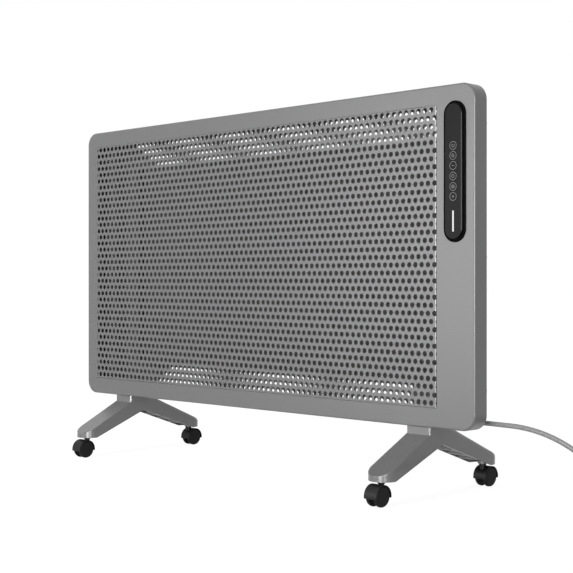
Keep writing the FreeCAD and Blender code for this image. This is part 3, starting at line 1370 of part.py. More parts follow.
def plug():
    """Two-pin moulded plug lying on the floor at the coil's end, its pins along -x."""
    body = place(new_body("plug_shell"), PLUG_FACE, PLUG_Y, "plug_height / 2")
    outline = rounded(sketch_on(body, "YZ_Plane"), "(-plug_width / 2)", "(-plug_height / 2)",
                      "(plug_width / 2)", "(plug_height / 2)", "plug_corner")
    pad(body, outline, "plug_length")
    ends = [edges_in_plane(0, "0"), edges_in_plane(0, "plug_length")]
    fillet(body, lambda edge: any(test(edge) for test in ends), "plug_edge_radius")
    neck = turned("plug_neck", [("0", "0"), ("plug_neck_tip / 2", "0"),
                                ("plug_neck_root / 2", "plug_neck_length"), ("0", "plug_neck_length")])
    place(neck, PLUG_X, PLUG_Y, "plug_height / 2", AGAINST_X)
    pin_ys = [f"{PLUG_Y} + {side} * plug_pin_spacing / 2" for side in (-1, 1)]
    bores = [cylinder("plug_pin_bore", "plug_pin_tail", "plug_pin_root", PLUG_FACE, y, "plug_height / 2",
                      ALONG_X) for y in pin_ys]
    node("plug_body", cut("plug_body", fuse("plug_blank", [body, neck]), fuse("plug_pin_bores", bores)))
    round_end = "plug_pin_size / 4"
    pin = turned("plug_pin", [("0", "-plug_pin_root"), ("plug_pin_tail / 2", "-plug_pin_root"),
                              ("plug_pin_tail / 2", "0"), ("plug_pin_size / 2", "0"),
                              ("plug_pin_size / 2", f"plug_pin_length - {round_end}"),
                              (round_end, "plug_pin_length"), ("0", "plug_pin_length")])
    pin.Placement = Placement(Vector(), AGAINST_X)
    node("plug_pins", group("plug_pins", pin, [point(PLUG_FACE, y, "plug_height / 2") for y in pin_ys]))


def build():
    """Make every piece in order."""
    fill_sheet()
    front_frame()
    front_grille()
    rear_cover()
    cover_screws()
    element_sheet("mica_front", MICA_FACE, FOIL_FACE)
    heating_foil()
    element_sheet("mica_back", MICA_BACK_FACE, MICA_REAR)
    element_rail("element_rail_left", -1)
    element_rail("element_rail_right", 1)
    element_spacers()
    heat_reflector()
    thermal_cutout()
    thermal_fuse()
    control_bezel()
    touch_panel()
    light_bar()
    touch_board()
    control_ribbon()
    power_board()
    heater_relay()
    filter_capacitor()
    terminal_block()
    tip_switch()
    tip_pendulum()
    room_sensor()
    internal_wiring()
    leg("leg_left", -1)
    leg("leg_right", 1)
    leg_fasteners()
    for end, where in ((-1, "front"), (1, "rear")):
        for side, hand in ((-1, "left"), (1, "right")):
            caster(f"caster_{where}_{hand}", side, end)
    cord_gland()
    mains_lead()
    lead_coil()
    coil_tie()
    plug()
    doc.recompute()


def check():
    """Stop if an object failed, a cut removed nothing, or a piece is not sound."""
    for thing in doc.Objects:
        if {"Invalid", "Error"} & set(thing.State):
            raise RuntimeError(f"{thing.Label} failed: {thing.State}")
        if thing.TypeId == "PartDesign::Pocket":
            if thing.Shape.Volume > thing.BaseFeature.Shape.Volume - LEAST_CUT:
                raise RuntimeError(f"{thing.Label} cuts nothing")
    for label, thing in nodes.items():
        if thing.Shape.isNull() or not thing.Shape.isValid() or not thing.Shape.Solids:
            raise RuntimeError(f"{label} is not a sound solid")


def write():
    """Write each piece to its own file."""
    os.makedirs("parts", exist_ok=True)
    for label, thing in nodes.items():
        thing.Shape.exportStep(f"parts/{label}.step")
    print(len(nodes), "pieces written")


build()
check()
write()
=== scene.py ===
"""Studio scene of a panel convector heater on castored legs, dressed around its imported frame."""
import logging
import math
from dataclasses import dataclass
from enum import Enum

import bpy
import numpy as np
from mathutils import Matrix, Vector
from mathutils.geometry import delaunay_2d_cdt


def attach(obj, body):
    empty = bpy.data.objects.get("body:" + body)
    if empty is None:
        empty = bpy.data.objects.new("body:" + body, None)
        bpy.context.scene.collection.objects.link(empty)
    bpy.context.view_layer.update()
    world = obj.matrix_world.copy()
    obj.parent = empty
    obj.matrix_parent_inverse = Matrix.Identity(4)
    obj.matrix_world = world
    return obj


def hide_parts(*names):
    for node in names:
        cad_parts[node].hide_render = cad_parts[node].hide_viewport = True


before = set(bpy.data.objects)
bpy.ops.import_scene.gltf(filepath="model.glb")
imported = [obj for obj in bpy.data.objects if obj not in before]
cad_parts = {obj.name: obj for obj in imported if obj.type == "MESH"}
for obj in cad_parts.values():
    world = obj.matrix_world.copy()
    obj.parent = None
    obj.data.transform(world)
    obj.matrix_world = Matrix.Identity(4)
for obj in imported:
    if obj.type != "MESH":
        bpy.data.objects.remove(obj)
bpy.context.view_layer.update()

MM = 0.001
CONTROL_X = 384.5
LOG = logging.getLogger("panel_heater")

Colour = tuple[float, float, float]
Place = tuple[float, float, float]
Stretch = tuple[float, float, float]
Flat = tuple[np.ndarray, np.ndarray]

UNSTRETCHED: Stretch = (1.0, 1.0, 1.0)
WHOLE_HULL = 0
WHITE: Colour = (1.0, 1.0, 1.0)


class Value:
    """One socket of a shader graph that takes part in Python arithmetic."""

    def __init__(self, graph: "Graph", socket: bpy.types.NodeSocket) -> None:
        """Keep the graph and the socket."""
        self.graph = graph
        self.socket = socket

    def __add__(self, other: "Value | float") -> "Value":
        """This plus another."""
        return self.graph.math("ADD", self, other)

    def __radd__(self, other: "Value | float") -> "Value":
        """Another plus this."""
        return self.graph.math("ADD", other, self)

    def __sub__(self, other: "Value | float") -> "Value":
        """This less another."""
        return self.graph.math("SUBTRACT", self, other)

    def __rsub__(self, other: "Value | float") -> "Value":
        """Another less this."""
        return self.graph.math("SUBTRACT", other, self)

    def __mul__(self, other: "Value | float") -> "Value":
        """This times another."""
        return self.graph.math("MULTIPLY", self, other)

    def __rmul__(self, other: "Value | float") -> "Value":
        """Another times this."""
        return self.graph.math("MULTIPLY", other, self)

    def clipped(self) -> "Value":
        """This kept between 0 and 1."""
        return self.graph.value("ShaderNodeClamp", {}, {"Value": self})

    def over(self, limit: float) -> "Value":
        """1 where this is greater than a limit, else 0."""
        return self.graph.math("GREATER_THAN", self, limit)


class Graph:
    """The node tree of one material or world, with short calls for what the finishes need."""

    OBJECT_COORDINATES = 3
    MIX_COLOURS = (6, 7)
    MIXED_COLOUR = 2

    def __init__(self, owner: "bpy.types.Material | bpy.types.World", shader: str, output: str) -> None:
        """Switch the owner to nodes and keep its tree.

        Args:
            owner: the material or world.
            shader: name of the shader node that it starts with.
            output: name of its output node.
        """
        owner.use_nodes = True
        self.tree = owner.node_tree
        self.shader = self.tree.nodes[shader]
        self.output = self.tree.nodes[output]

    @classmethod
    def of_material(cls, material: bpy.types.Material) -> "Graph":
        """The graph of a new material."""
        return cls(material, "Principled BSDF", "Material Output")

    @classmethod
    def of_world(cls, world: bpy.types.World) -> "Graph":
        """The graph of a new world."""
        return cls(world, "Background", "World Output")

    def node(self, kind: str, settings: dict, inputs: dict) -> bpy.types.Node:
        """Add one node.

        Args:
            kind: the node's type.
            settings: its own settings, set before its sockets.
            inputs: values or links by socket name or number.

        Returns:
            The new node.
        """
        made = self.tree.nodes.new(kind)
        for name, setting in settings.items():
            setattr(made, name, setting)
        for key, given in inputs.items():
            self.feed(made.inputs[key], given)
        return made

    def feed(self, socket: bpy.types.NodeSocket, given: object) -> None:
        """Fill one socket.

        Args:
            socket: the input to fill.
            given: a value to link into it, or a plain number or colour to set on it.
        """
        if isinstance(given, Value):
            self.tree.links.new(given.socket, socket)
        else:
            socket.default_value = given

    def value(self, kind: str, settings: dict, inputs: dict, output: int | str = 0) -> Value:
        """Add one node and wrap one of its outputs."""
        return Value(self, self.node(kind, settings, inputs).outputs[output])

    def math(self, operation: str, *terms: "Value | float") -> Value:
        """Add a Math node over the terms."""
        return self.value("ShaderNodeMath", {"operation": operation}, dict(enumerate(terms)))

    def place(self, stretch: Stretch = UNSTRETCHED) -> Value:
        """Object coordinates.

        Args:
            stretch: factors along the three axes.

        Returns:
            The place, stretched.
        """
        spot = self.value("ShaderNodeTexCoord", {}, {}, self.OBJECT_COORDINATES)
        if stretch == UNSTRETCHED:
            return spot
        return self.value("ShaderNodeMapping", {}, {"Vector": spot, "Scale": stretch})

    def along_x(self, spot: Value) -> Value:
        """The x part of a place."""
        return self.value("ShaderNodeSeparateXYZ", {}, {0: spot}, "X")

    def noise(self, spot: Value, scale: float, detail: float = 2.0) -> Value:
        """Cloudy noise between 0 and 1, with so many waves in a metre."""
        return self.value("ShaderNodeTexNoise", {}, {"Vector": spot, "Scale": scale, "Detail": detail})

    def cells(self, spot: Value, scale: float) -> Value:
        """Distance to the nearest of scattered points, with so many cells in a metre."""
        return self.value("ShaderNodeTexVoronoi", {}, {"Vector": spot, "Scale": scale}, "Distance")

    def between(self, factor: Value, first: "Colour | Value", second: "Colour | Value") -> Value:
        """Mix two colours.

        Args:
            factor: 0 for the first colour, 1 for the second.
            first: one colour.
            second: the other.

        Returns:
            The mixed colour.
        """
        low, high = self.MIX_COLOURS
        inputs = {0: factor, low: opaque(first), high: opaque(second)}
        return self.value("ShaderNodeMix", {"data_type": "RGBA"}, inputs, self.MIXED_COLOUR)

    def bump(self, height: Value, depth: float, strength: float = 1.0) -> None:
        """Tilt the shader's normal by a height that stands for so many metres."""
        settings = {"Height": height, "Distance": depth, "Strength": strength}
        self.feed(self.shader.inputs["Normal"], self.value("ShaderNodeBump", {}, settings))

    def shade(self, **sockets: object) -> None:
        """Set or link the shader's sockets.

        Args:
            sockets: what each socket gets, by its name in lower case with _ for a space.
        """
        for name, given in sockets.items():
            title = name.replace("_", " ").title().replace("Ior", "IOR")
            self.feed(self.shader.inputs[title], given)

    def seen_directly(self) -> Value:
        """Tell what the camera sees from what only lights the scene.

        Returns:
            1 for what is seen straight, in the gloss or through a clear piece, else 0.
        """
        path = self.node("ShaderNodeLightPath", {}, {}).outputs
        straight = Value(self, path["Is Camera Ray"])
        mirrored = Value(self, path["Is Glossy Ray"])
        through = Value(self, path["Is Transmission Ray"])
        return self.math("MAXIMUM", self.math("MAXIMUM", straight, mirrored), through)


def opaque(colour: "Colour | Value") -> object:
    """A colour with full alpha; a linked value stays as it is."""
    return colour if isinstance(colour, Value) else (*colour, 1.0)


def shaded(colour: Colour, factor: float) -> Colour:
    """A colour made lighter or darker by a factor."""
    return tuple(min(1.0, part * factor) for part in colour)


@dataclass(frozen=True)
class Finish:
    """A surface finish: its name, its colour in linear light, its roughness and how strongly it mirrors."""

    name: str
    colour: Colour
    roughness: float
    mirror: float = 0.5

    def material(self) -> bpy.types.Material:
        """Make the finish's material on first use.

        Returns:
            The material.
        """
        title = f"{self.name}_finish"
        known = bpy.data.materials.get(title)
        if known:
            return known
        made = bpy.data.materials.new(title)
        graph = Graph.of_material(made)
        graph.shade(specular_ior_level=self.mirror)
        self.paint(graph)
        return made

    def toned(self, low: float, high: float) -> tuple[Colour, Colour]:
        """The colour made darker and lighter by two factors."""
        return shaded(self.colour, low), shaded(self.colour, high)

    def uneven(self, spread: float, noise: Value) -> Value:
        """The roughness, varied by noise over a spread round its mean."""
        return self.roughness - spread / 2 + spread * noise

    def paint(self, graph: Graph) -> None:
        """Wire the finish into a graph."""
        raise NotImplementedError


@dataclass(frozen=True)
class PowderCoat(Finish):
    """Baked paint on sheet steel: a soft cloud of tone over fine orange peel."""

    mottle: float = 0.05
    cloud_waves: float = 5.0
    cloud_detail: float = 3.0
    cloud_share: float = 0.6
    speckle_waves: float = 2600.0
    peel_waves: float = 700.0
    peel_depth: float = 0.00003
    peel_strength: float = 0.35
    peel_gloss: float = 0.1

    def paint(self, graph: Graph) -> None:
        """Cloud and speckle mix two tones; the peel tilts the normal and varies the roughness.

        Args:
            graph: the material's graph.
        """
        spot = graph.place()
        cloud = graph.noise(spot, self.cloud_waves, self.cloud_detail)
        speckle = graph.noise(spot, self.speckle_waves)
        peel = graph.noise(spot, self.peel_waves)
        tone = (self.cloud_share * cloud + (1 - self.cloud_share) * speckle).clipped()
        low, high = self.toned(1 - self.mottle, 1 + self.mottle)
        graph.shade(base_color=graph.between(tone, low, high), roughness=self.uneven(self.peel_gloss, peel))
        graph.bump(peel, self.peel_depth, self.peel_strength)


@dataclass(frozen=True)
class MouldedPlastic(Finish):
    """Injection-moulded plastic: spark-eroded grain with slow flow marks."""

    mottle: float = 0.06
    flow_waves: float = 14.0
    flow_share: float = 0.5
    grain_waves: float = 1500.0
    grain_depth: float = 0.00005
    grain_strength: float = 0.5
    grain_gloss: float = 0.12
    detail: float = 3.0

    def paint(self, graph: Graph) -> None:
        """Flow marks mix two tones; the grain tilts the normal and varies the roughness.

        Args:
            graph: the material's graph.
        """
        spot = graph.place()
        flow = graph.noise(spot, self.flow_waves, self.detail)
        grain = graph.noise(spot, self.grain_waves, self.detail)
        tone = (self.flow_share * flow + (1 - self.flow_share) * grain).clipped()
        low, high = self.toned(1 - self.mottle, 1 + self.mottle)
        graph.shade(base_color=graph.between(tone, low, high),
                    roughness=self.uneven(self.grain_gloss, grain))
        graph.bump(grain, self.grain_depth, self.grain_strength)


@dataclass(frozen=True)
class GlossPlastic(Finish):
    """Polished plastic: faint wipe marks in its gloss."""

    wipe: Stretch = (1.0, 1.0, 0.2)
    smear_waves: float = 60.0
    smear_detail: float = 4.0
    smear_gloss: float = 0.08
    dust_cells: float = 900.0
    dust_lift: float = 1.25

    def paint(self, graph: Graph) -> None:
        """Smears vary the roughness, and fine dust lifts the colour a little.

        Args:
            graph: the material's graph.
        """
        smear = graph.noise(graph.place(self.wipe), self.smear_waves, self.smear_detail)
        dust = graph.cells(graph.place(), self.dust_cells).clipped()
        dusty = shaded(self.colour, self.dust_lift)
        graph.shade(base_color=graph.between(dust, self.colour, dusty),
                    roughness=self.roughness + self.smear_gloss * smear)


@dataclass(frozen=True)
class BrushedMetal(Finish):
    """Bare or plated metal with drawing lines along one axis."""

    lines: Stretch = (1.0, 40.0, 40.0)
    streak_waves: float = 40.0
    streak_detail: float = 4.0
    streak_share: float = 0.6
    streak_gloss: float = 0.16
    streak_depth: float = 0.00002
    streak_strength: float = 0.3
    cloud_waves: float = 30.0
    cloud_detail: float = 3.0
    darkest: float = 0.82
    lightest: float = 1.12
    metallic: float = 1.0

    def paint(self, graph: Graph) -> None:
        """Stretched noise draws the lines in tone, roughness and normal.

        Args:
            graph: the material's graph.
        """
        streak = graph.noise(graph.place(self.lines), self.streak_waves, self.streak_detail)
        cloud = graph.noise(graph.place(), self.cloud_waves, self.cloud_detail)
        tone = (self.streak_share * streak + (1 - self.streak_share) * cloud).clipped()
        low, high = self.toned(self.darkest, self.lightest)
        graph.shade(base_color=graph.between(tone, low, high), metallic=self.metallic,
                    roughness=self.uneven(self.streak_gloss, streak))
        graph.bump(streak, self.streak_depth, self.streak_strength)


@dataclass(frozen=True)
class MicaSheet(Finish):
    """Pressed mica: overlapping flakes with a faint sheen."""

    flake_cells: float = 160.0
    flake_share: float = 0.7
    flake_depth: float = 0.00006
    flake_strength: float = 0.4
    dust_waves: float = 900.0
    dust_detail: float = 3.0
    dust_gloss: float = 0.2
    darkest: float = 0.75
    lightest: float = 1.3

    def paint(self, graph: Graph) -> None:
        """Flakes are cells of many tones; fine noise roughens them.

        Args:
            graph: the material's graph.
        """
        spot = graph.place()
        flakes = graph.cells(spot, self.flake_cells)
        dust = graph.noise(spot, self.dust_waves, self.dust_detail)
        tone = (self.flake_share * flakes + (1 - self.flake_share) * dust).clipped()
        low, high = self.toned(self.darkest, self.lightest)
        graph.shade(base_color=graph.between(tone, low, high), roughness=self.uneven(self.dust_gloss, dust))
        graph.bump(flakes, self.flake_depth, self.flake_strength)


@dataclass(frozen=True)
class CircuitLaminate(Finish):
    """Solder-masked board with paler tracks."""

    track: Colour = (0.05, 0.30, 0.12)
    track_run: Stretch = (1.0, 1.0, 0.12)
    track_waves: float = 420.0
    track_detail: float = 1.0
    track_level: float = 0.54
    track_depth: float = 0.00003
    track_strength: float = 0.5
    weave_waves: float = 1800.0
    weave_gloss: float = 0.12

    def paint(self, graph: Graph) -> None:
        """Noise drawn out along the board, cut at a level, makes the tracks.

        Args:
            graph: the material's graph.
        """
        drawn = graph.noise(graph.place(self.track_run), self.track_waves, self.track_detail)
        tracks = drawn.over(self.track_level)
        weave = graph.noise(graph.place(), self.weave_waves)
        graph.shade(base_color=graph.between(tracks, self.colour, self.track),
                    roughness=self.roughness + self.weave_gloss * weave)
        graph.bump(tracks, self.track_depth, self.track_strength)


@dataclass(frozen=True)
class LitWindow(Finish):
    """Dark window with a lit stripe down its middle."""

    glow: float = 0.95
    unlit: Colour = (0.006, 0.006, 0.0063)
    middle: float = CONTROL_X * MM
    stripe: float = 2.5 * MM
    cloud_waves: float = 220.0
    dimmest: float = 0.96

    def paint(self, graph: Graph) -> None:
        """The stripe is masked by its distance from the middle; a faint cloud varies its glow.

        Args:
            graph: the material's graph.
        """
        spot = graph.place()
        aside = graph.math("ABSOLUTE", graph.along_x(spot) - self.middle)
        lit = 1.0 - aside.over(self.stripe / 2)
        cloud = graph.noise(spot, self.cloud_waves)
        light = graph.between(cloud, shaded(self.colour, self.dimmest), self.colour)
        graph.shade(base_color=opaque(self.unlit), roughness=self.roughness, emission_color=light,
                    emission_strength=self.glow * lit)


class Paint(Enum):
    """Every finish on the heater."""

    FRAME = PowderCoat("frame_coat", (0.238, 0.238, 0.241), 0.34, 0.42)
    GRILLE = PowderCoat("grille_coat", (0.238, 0.238, 0.241), 0.34, 0.42)
    COVER = PowderCoat("cover_coat", (0.228, 0.228, 0.231), 0.40, 0.40)
    LEG = MouldedPlastic("leg_plastic", (0.236, 0.236, 0.239), 0.27, 0.6, grain_depth=0.000005)
    HOOD = MouldedPlastic("hood_plastic", (0.025, 0.025, 0.0257), 0.42, 0.13)
    WHEEL = MouldedPlastic("wheel_plastic", (0.029, 0.029, 0.0295), 0.5, 0.05)
    BEZEL = GlossPlastic("bezel_plastic", (0.0015, 0.0015, 0.0016), 0.45, 0.02)
    TOUCH = GlossPlastic("touch_plate", (0.0060, 0.0060, 0.0063), 0.34, 0.09)
    INK = MouldedPlastic("key_ink", (0.36, 0.36, 0.36), 0.55)
    LIGHT = LitWindow("light_window", (0.96, 0.96, 0.96), 0.4, 0.09)
    MICA = MicaSheet("mica_sheet", (0.155, 0.152, 0.148), 0.55, 0.1)
    FOIL = BrushedMetal("foil_strip", (0.42, 0.40, 0.37), 0.35)
    ZINC = BrushedMetal("zinc_steel", (0.52, 0.52, 0.53), 0.38)
    REFLECTOR = BrushedMetal("reflector_sheet", (0.70, 0.70, 0.72), 0.25)
    DARK_STEEL = BrushedMetal("dark_steel", (0.05, 0.05, 0.052), 0.40)
    BRASS = BrushedMetal("pendulum_brass", (0.62, 0.45, 0.19), 0.30)
    NICKEL = BrushedMetal("pin_nickel", (0.66, 0.64, 0.60), 0.22)
    CERAMIC = MouldedPlastic("ceramic_body", (0.72, 0.69, 0.62), 0.60)
    BOARD = CircuitLaminate("board_laminate", (0.015, 0.11, 0.045), 0.40)
    RIBBON = MouldedPlastic("ribbon_jacket", (0.45, 0.45, 0.46), 0.50)
    NYLON = MouldedPlastic("spacer_nylon", (0.66, 0.65, 0.62), 0.50)
    RELAY = GlossPlastic("relay_case", (0.012, 0.035, 0.11), 0.35)
    SLEEVE = GlossPlastic("capacitor_sleeve", (0.02, 0.02, 0.04), 0.30)
    TERMINAL = MouldedPlastic("terminal_plastic", (0.70, 0.70, 0.67), 0.45)
    SWITCH = MouldedPlastic("switch_plastic", (0.035, 0.035, 0.035), 0.48)
    WIRE = MouldedPlastic("wire_jacket", (0.05, 0.05, 0.052), 0.48)
    CORD = MouldedPlastic("cord_jacket", (0.36, 0.36, 0.365), 0.55, grain_waves=900.0)
    GLAND = MouldedPlastic("gland_rubber", (0.33, 0.33, 0.335), 0.60)
    PLUG = MouldedPlastic("plug_plastic", (0.36, 0.36, 0.365), 0.45)
    TIE = MouldedPlastic("tie_plastic", (0.025, 0.025, 0.025), 0.50)


def grid_faces(rows: int, columns: int) -> np.ndarray:
    """Join a grid of points by quads.

    Args:
        rows: points along the first parameter.
        columns: points along the second parameter.

    Returns:
        Corner numbers, four to a row.
    """
    index = np.arange(rows * columns).reshape(rows, columns)
    here, after = index[:, :-1], index[:, 1:]
    return np.stack([here[:-1], after[:-1], after[1:], here[1:]], -1).reshape(-1, 4)


def add_piece(name: str, points: np.ndarray, faces: list, paint: Paint,
              body: str = "casing") -> bpy.types.Object:
    """Put a flat-shaded mesh into the scene with its finish, riding on a body.

    Args:
        name: the piece's name.
        points: its places in metres, three to a row.
        faces: corner numbers of each face.
        paint: its finish.
        body: the CAD body that it moves with.

    Returns:
        The new object.
    """
    mesh = bpy.data.meshes.new(name)
    mesh.from_pydata(points.tolist(), [], faces)
    mesh.update()
    piece = bpy.data.objects.new(name, mesh)
    bpy.context.scene.collection.objects.link(piece)
    piece.data.materials.append(paint.value.material())
    LOG.info("%s: %d faces", name, len(mesh.polygons))
    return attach(piece, body)


def dress(paint: Paint, *nodes: str) -> None:
    """Give CAD nodes a finish.

    Args:
        paint: the finish.
        nodes: the nodes' names.
    """
    for name in nodes:
        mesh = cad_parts[name].data
        mesh.materials.clear()
        mesh.materials.append(paint.value.material())
        LOG.info("%s: %s", name, paint.value.name)


@dataclass(frozen=True)
class SoftLamp:
    """A soft lamp, in metres and watts.

    One for gloss only lights no matt surface, and one with nodes named is shielded from the rest.
    """

    name: str
    place: Place
    watts: float
    width: float
    height: float
    gloss_only: bool = True
    nodes: tuple[str, ...] = ()

    def hang(self, target: Place) -> None:
        """Put the lamp in the scene.

        Args:
            target: the point that it faces.
        """
        data = bpy.data.lights.new(self.name, "AREA")
        data.shape = "RECTANGLE"
        data.energy = self.watts
        data.size = self.width
        data.size_y = self.height
        made = bpy.data.objects.new(self.name, data)
        made.location = self.place
        made.rotation_euler = (Vector(target) - Vector(self.place)).to_track_quat("-Z", "Y").to_euler()
        made.visible_diffuse = not self.gloss_only
        bpy.context.scene.collection.objects.link(made)
        if self.nodes:
            lit = bpy.data.collections.new(f"{self.name}_nodes")
            for node in self.nodes:
                lit.objects.link(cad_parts[node])
            made.light_linking.receiver_collection = lit


@dataclass
class StudioView:
    """Camera, lamps, backdrop and floor."""

    eye: Place = (1.3764, -1.3370, 0.2915)
    yaw: float = math.radians(45.056)
    focal_px: float = 1250.0
    frame_px: float = 573.0
    horizon_px: float = 280.57
    sensor_mm: float = 36.0
    ambient: float = 0.375
    target: Place = (0.10, 0.0, 0.30)
    lamps: tuple[SoftLamp, ...] = (
        SoftLamp("key_lamp", (0.25, -2.90, 1.60), 37.0, 1.20, 1.20, gloss_only=False),
        SoftLamp("front_gloss", (-0.50, -1.50, 0.38), 14.0, 0.90, 0.90),
        SoftLamp("edge_gloss", (1.72, -1.30, 0.46), 74.0, 0.36, 0.90),
        SoftLamp("leg_gloss", (0.69, -1.48, 0.14), 40.0, 0.36, 0.24, nodes=("leg_left", "leg_right")),
    )
    floor_reach: float = 14.0
    floor_tone: float = 0.80
    floor_glow: float = 0.92
    floor_shade: float = 0.25
    floor_roughness: float = 0.9

    def camera(self) -> None:
        """Level camera: its shift puts the horizon where the photograph has it."""
        data = bpy.data.cameras.new("studio_camera")
        data.sensor_width = self.sensor_mm
        data.lens = self.focal_px / self.frame_px * self.sensor_mm
        data.shift_y = (self.horizon_px - self.frame_px / 2) / self.frame_px
        made = bpy.data.objects.new("studio_camera", data)
        made.location = self.eye
        made.rotation_euler = (math.pi / 2, 0.0, self.yaw)
        bpy.context.scene.collection.objects.link(made)
        bpy.context.scene.camera = made

    def lights(self) -> None:
        """Hang every lamp, and show colours as they are."""
        for lamp in self.lamps:
            lamp.hang(self.target)
        bpy.context.scene.view_settings.view_transform = "Standard"

    def world(self) -> None:
        """Even light all round; what the camera sees directly is white."""
        world = bpy.data.worlds.new("studio_world")
        bpy.context.scene.world = world
        graph = Graph.of_world(world)
        graph.shade(color=opaque(WHITE), strength=self.ambient)
        lit = Value(graph, graph.shader.outputs[0])
        seen = graph.value("ShaderNodeBackground", {}, {"Color": opaque(WHITE), "Strength": 1.0})
        mixed = graph.value("ShaderNodeMixShader", {}, {0: graph.seen_directly(), 1: lit, 2: seen})
        graph.feed(graph.output.inputs["Surface"], mixed)

    def floor(self) -> None:
        """Plain pale floor that keeps a faint shadow."""
        points = self.floor_reach * np.array([(-1, -1, 0), (1, -1, 0), (1, 1, 0), (-1, 1, 0)])
        mesh = bpy.data.meshes.new("studio_floor")
        mesh.from_pydata(points.tolist(), [], [(0, 1, 2, 3)])
        made = bpy.data.objects.new("studio_floor", mesh)
        bpy.context.scene.collection.objects.link(made)
        mesh.materials.append(self.floor_material())

    def floor_material(self) -> bpy.types.Material:
        """Make the floor pale for bounced light, and nearly white with a faint shadow where it is seen.

        Returns:
            The floor's material.
        """
        made = bpy.data.materials.new("studio_floor")
        graph = Graph.of_material(made)
        graph.shade(base_color=opaque(shaded(WHITE, self.floor_tone)), roughness=self.floor_roughness,
                    specular_ior_level=0.0)
        pale = Value(graph, graph.shader.outputs[0])
        glow = graph.value("ShaderNodeEmission", {}, {"Strength": self.floor_glow})
        dull = graph.value("ShaderNodeBsdfDiffuse", {}, {"Color": opaque(shaded(WHITE, self.floor_shade))})
        seen = graph.value("ShaderNodeAddShader", {}, {0: glow, 1: dull})
        mixed = graph.value("ShaderNodeMixShader", {}, {0: graph.seen_directly(), 1: pale, 2: seen})
        graph.feed(graph.output.inputs["Surface"], mixed)
        return made


def eased(share: np.ndarray) -> np.ndarray:
    """A share from 0 to 1 that starts and ends slowly."""
    return share ** 2 * (3 - 2 * share)


@dataclass
class MainsLead:
    """The lead from its gland to its plug: a free stretch, then a tied coil of two layers."""

    diameter: float = 6.5 * MM
    length: float = 1.492
    route: tuple[Place, ...] = (
        (396.0, 0.0, 105.3), (424.0, 0.0, 105.3), (466.0, 0.5, 104.6), (503.0, 6.0, 95.5),
        (532.0, 21.0, 76.5), (551.0, 43.0, 49.5), (559.5, 70.0, 25.5), (563.0, 95.0, 10.0),
        (564.2, 118.0, 4.45), (564.2, 133.5, 4.45))
    coil_centre: tuple[float, float] = (520.0, 140.0)
    core: float = 28.0
    pitch: float = 7.2
    low: float = 4.45
    quarters_in: int = 9
    quarters_out: int = 10
    lead_out: float = 12.5
    points_in_turn: int = 16
    tail: float = 6.5
    round_steps: int = 5
    length_steps: int = 8
    spline_order: int = 3

    def coil_points(self) -> np.ndarray:
        """Lay the coil's control points.

        The radius falls by a quarter pitch in each quarter turn, rises again after the middle of the
        climb, and gains the lead-out in the last quarter. The height climbs one layer over a half turn.

        Returns:
            Places in millimetres, three to a row.
        """
        quarters = self.quarters_in + 2 + self.quarters_out
        quarter = np.linspace(0.0, quarters, quarters * self.points_in_turn // 4 + 1)
        beyond = quarter - self.quarters_in - 1
        leave = np.clip(quarter - (quarters - 1), 0.0, 1.0)
        radius = self.core + self.pitch / 4 * (np.abs(beyond) - 1) + self.lead_out * eased(leave)
        pull_in = math.cos(math.pi / self.points_in_turn)
        climb = np.clip((beyond + 1) / 2, 0.0, 1.0)
        height = self.low + self.pitch * eased(climb)
        angle = quarter * math.pi / 2
        return np.stack([self.coil_centre[0] + radius / pull_in * np.cos(angle),
                         self.coil_centre[1] + radius / pull_in * np.sin(angle), height], 1)

    def control_points(self) -> np.ndarray:
        """Join the route, the coil and the straight tail into the plug.

        Returns:
            Places in metres, three to a row.
        """
        coil = self.coil_points()
        last_radius = self.core + self.pitch * self.quarters_out / 4 + self.lead_out
        end = np.array([[self.coil_centre[0], self.coil_centre[1] + last_radius, coil[-1, 2]]])
        tail = end - np.array([[self.tail, 0.0, 0.0]])
        return np.concatenate([np.array(self.route), coil[1:-1], end, tail]) * MM

    def build(self) -> None:
        """Lay the lead as one smooth curve and say what it is."""
        points = self.control_points()
        curve = bpy.data.curves.new("mains_cord", "CURVE")
        curve.dimensions = "3D"
        curve.bevel_depth = self.diameter / 2
        curve.bevel_resolution = self.round_steps
        curve.resolution_u = self.length_steps
        curve.use_fill_caps = True
        spline = curve.splines.new("NURBS")
        spline.points.add(len(points) - 1)
        spline.points.foreach_set("co", np.column_stack([points, np.ones(len(points))]).ravel())
        spline.order_u = self.spline_order
        spline.use_endpoint_u = True
        cord = bpy.data.objects.new("mains_cord", curve)
        bpy.context.scene.collection.objects.link(cord)
        curve.materials.append(Paint.CORD.value.material())
        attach(cord, "casing")
        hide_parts("mains_lead", "lead_coil")
        LOG.info("mains_cord: %d control points", len(points))

    def dress(self) -> None:
        """Finish the gland, the tie and the plug."""
        dress(Paint.GLAND, "cord_gland")
        dress(Paint.TIE, "coil_tie")
        dress(Paint.PLUG, "plug_body")
        dress(Paint.NICKEL, "plug_pins")


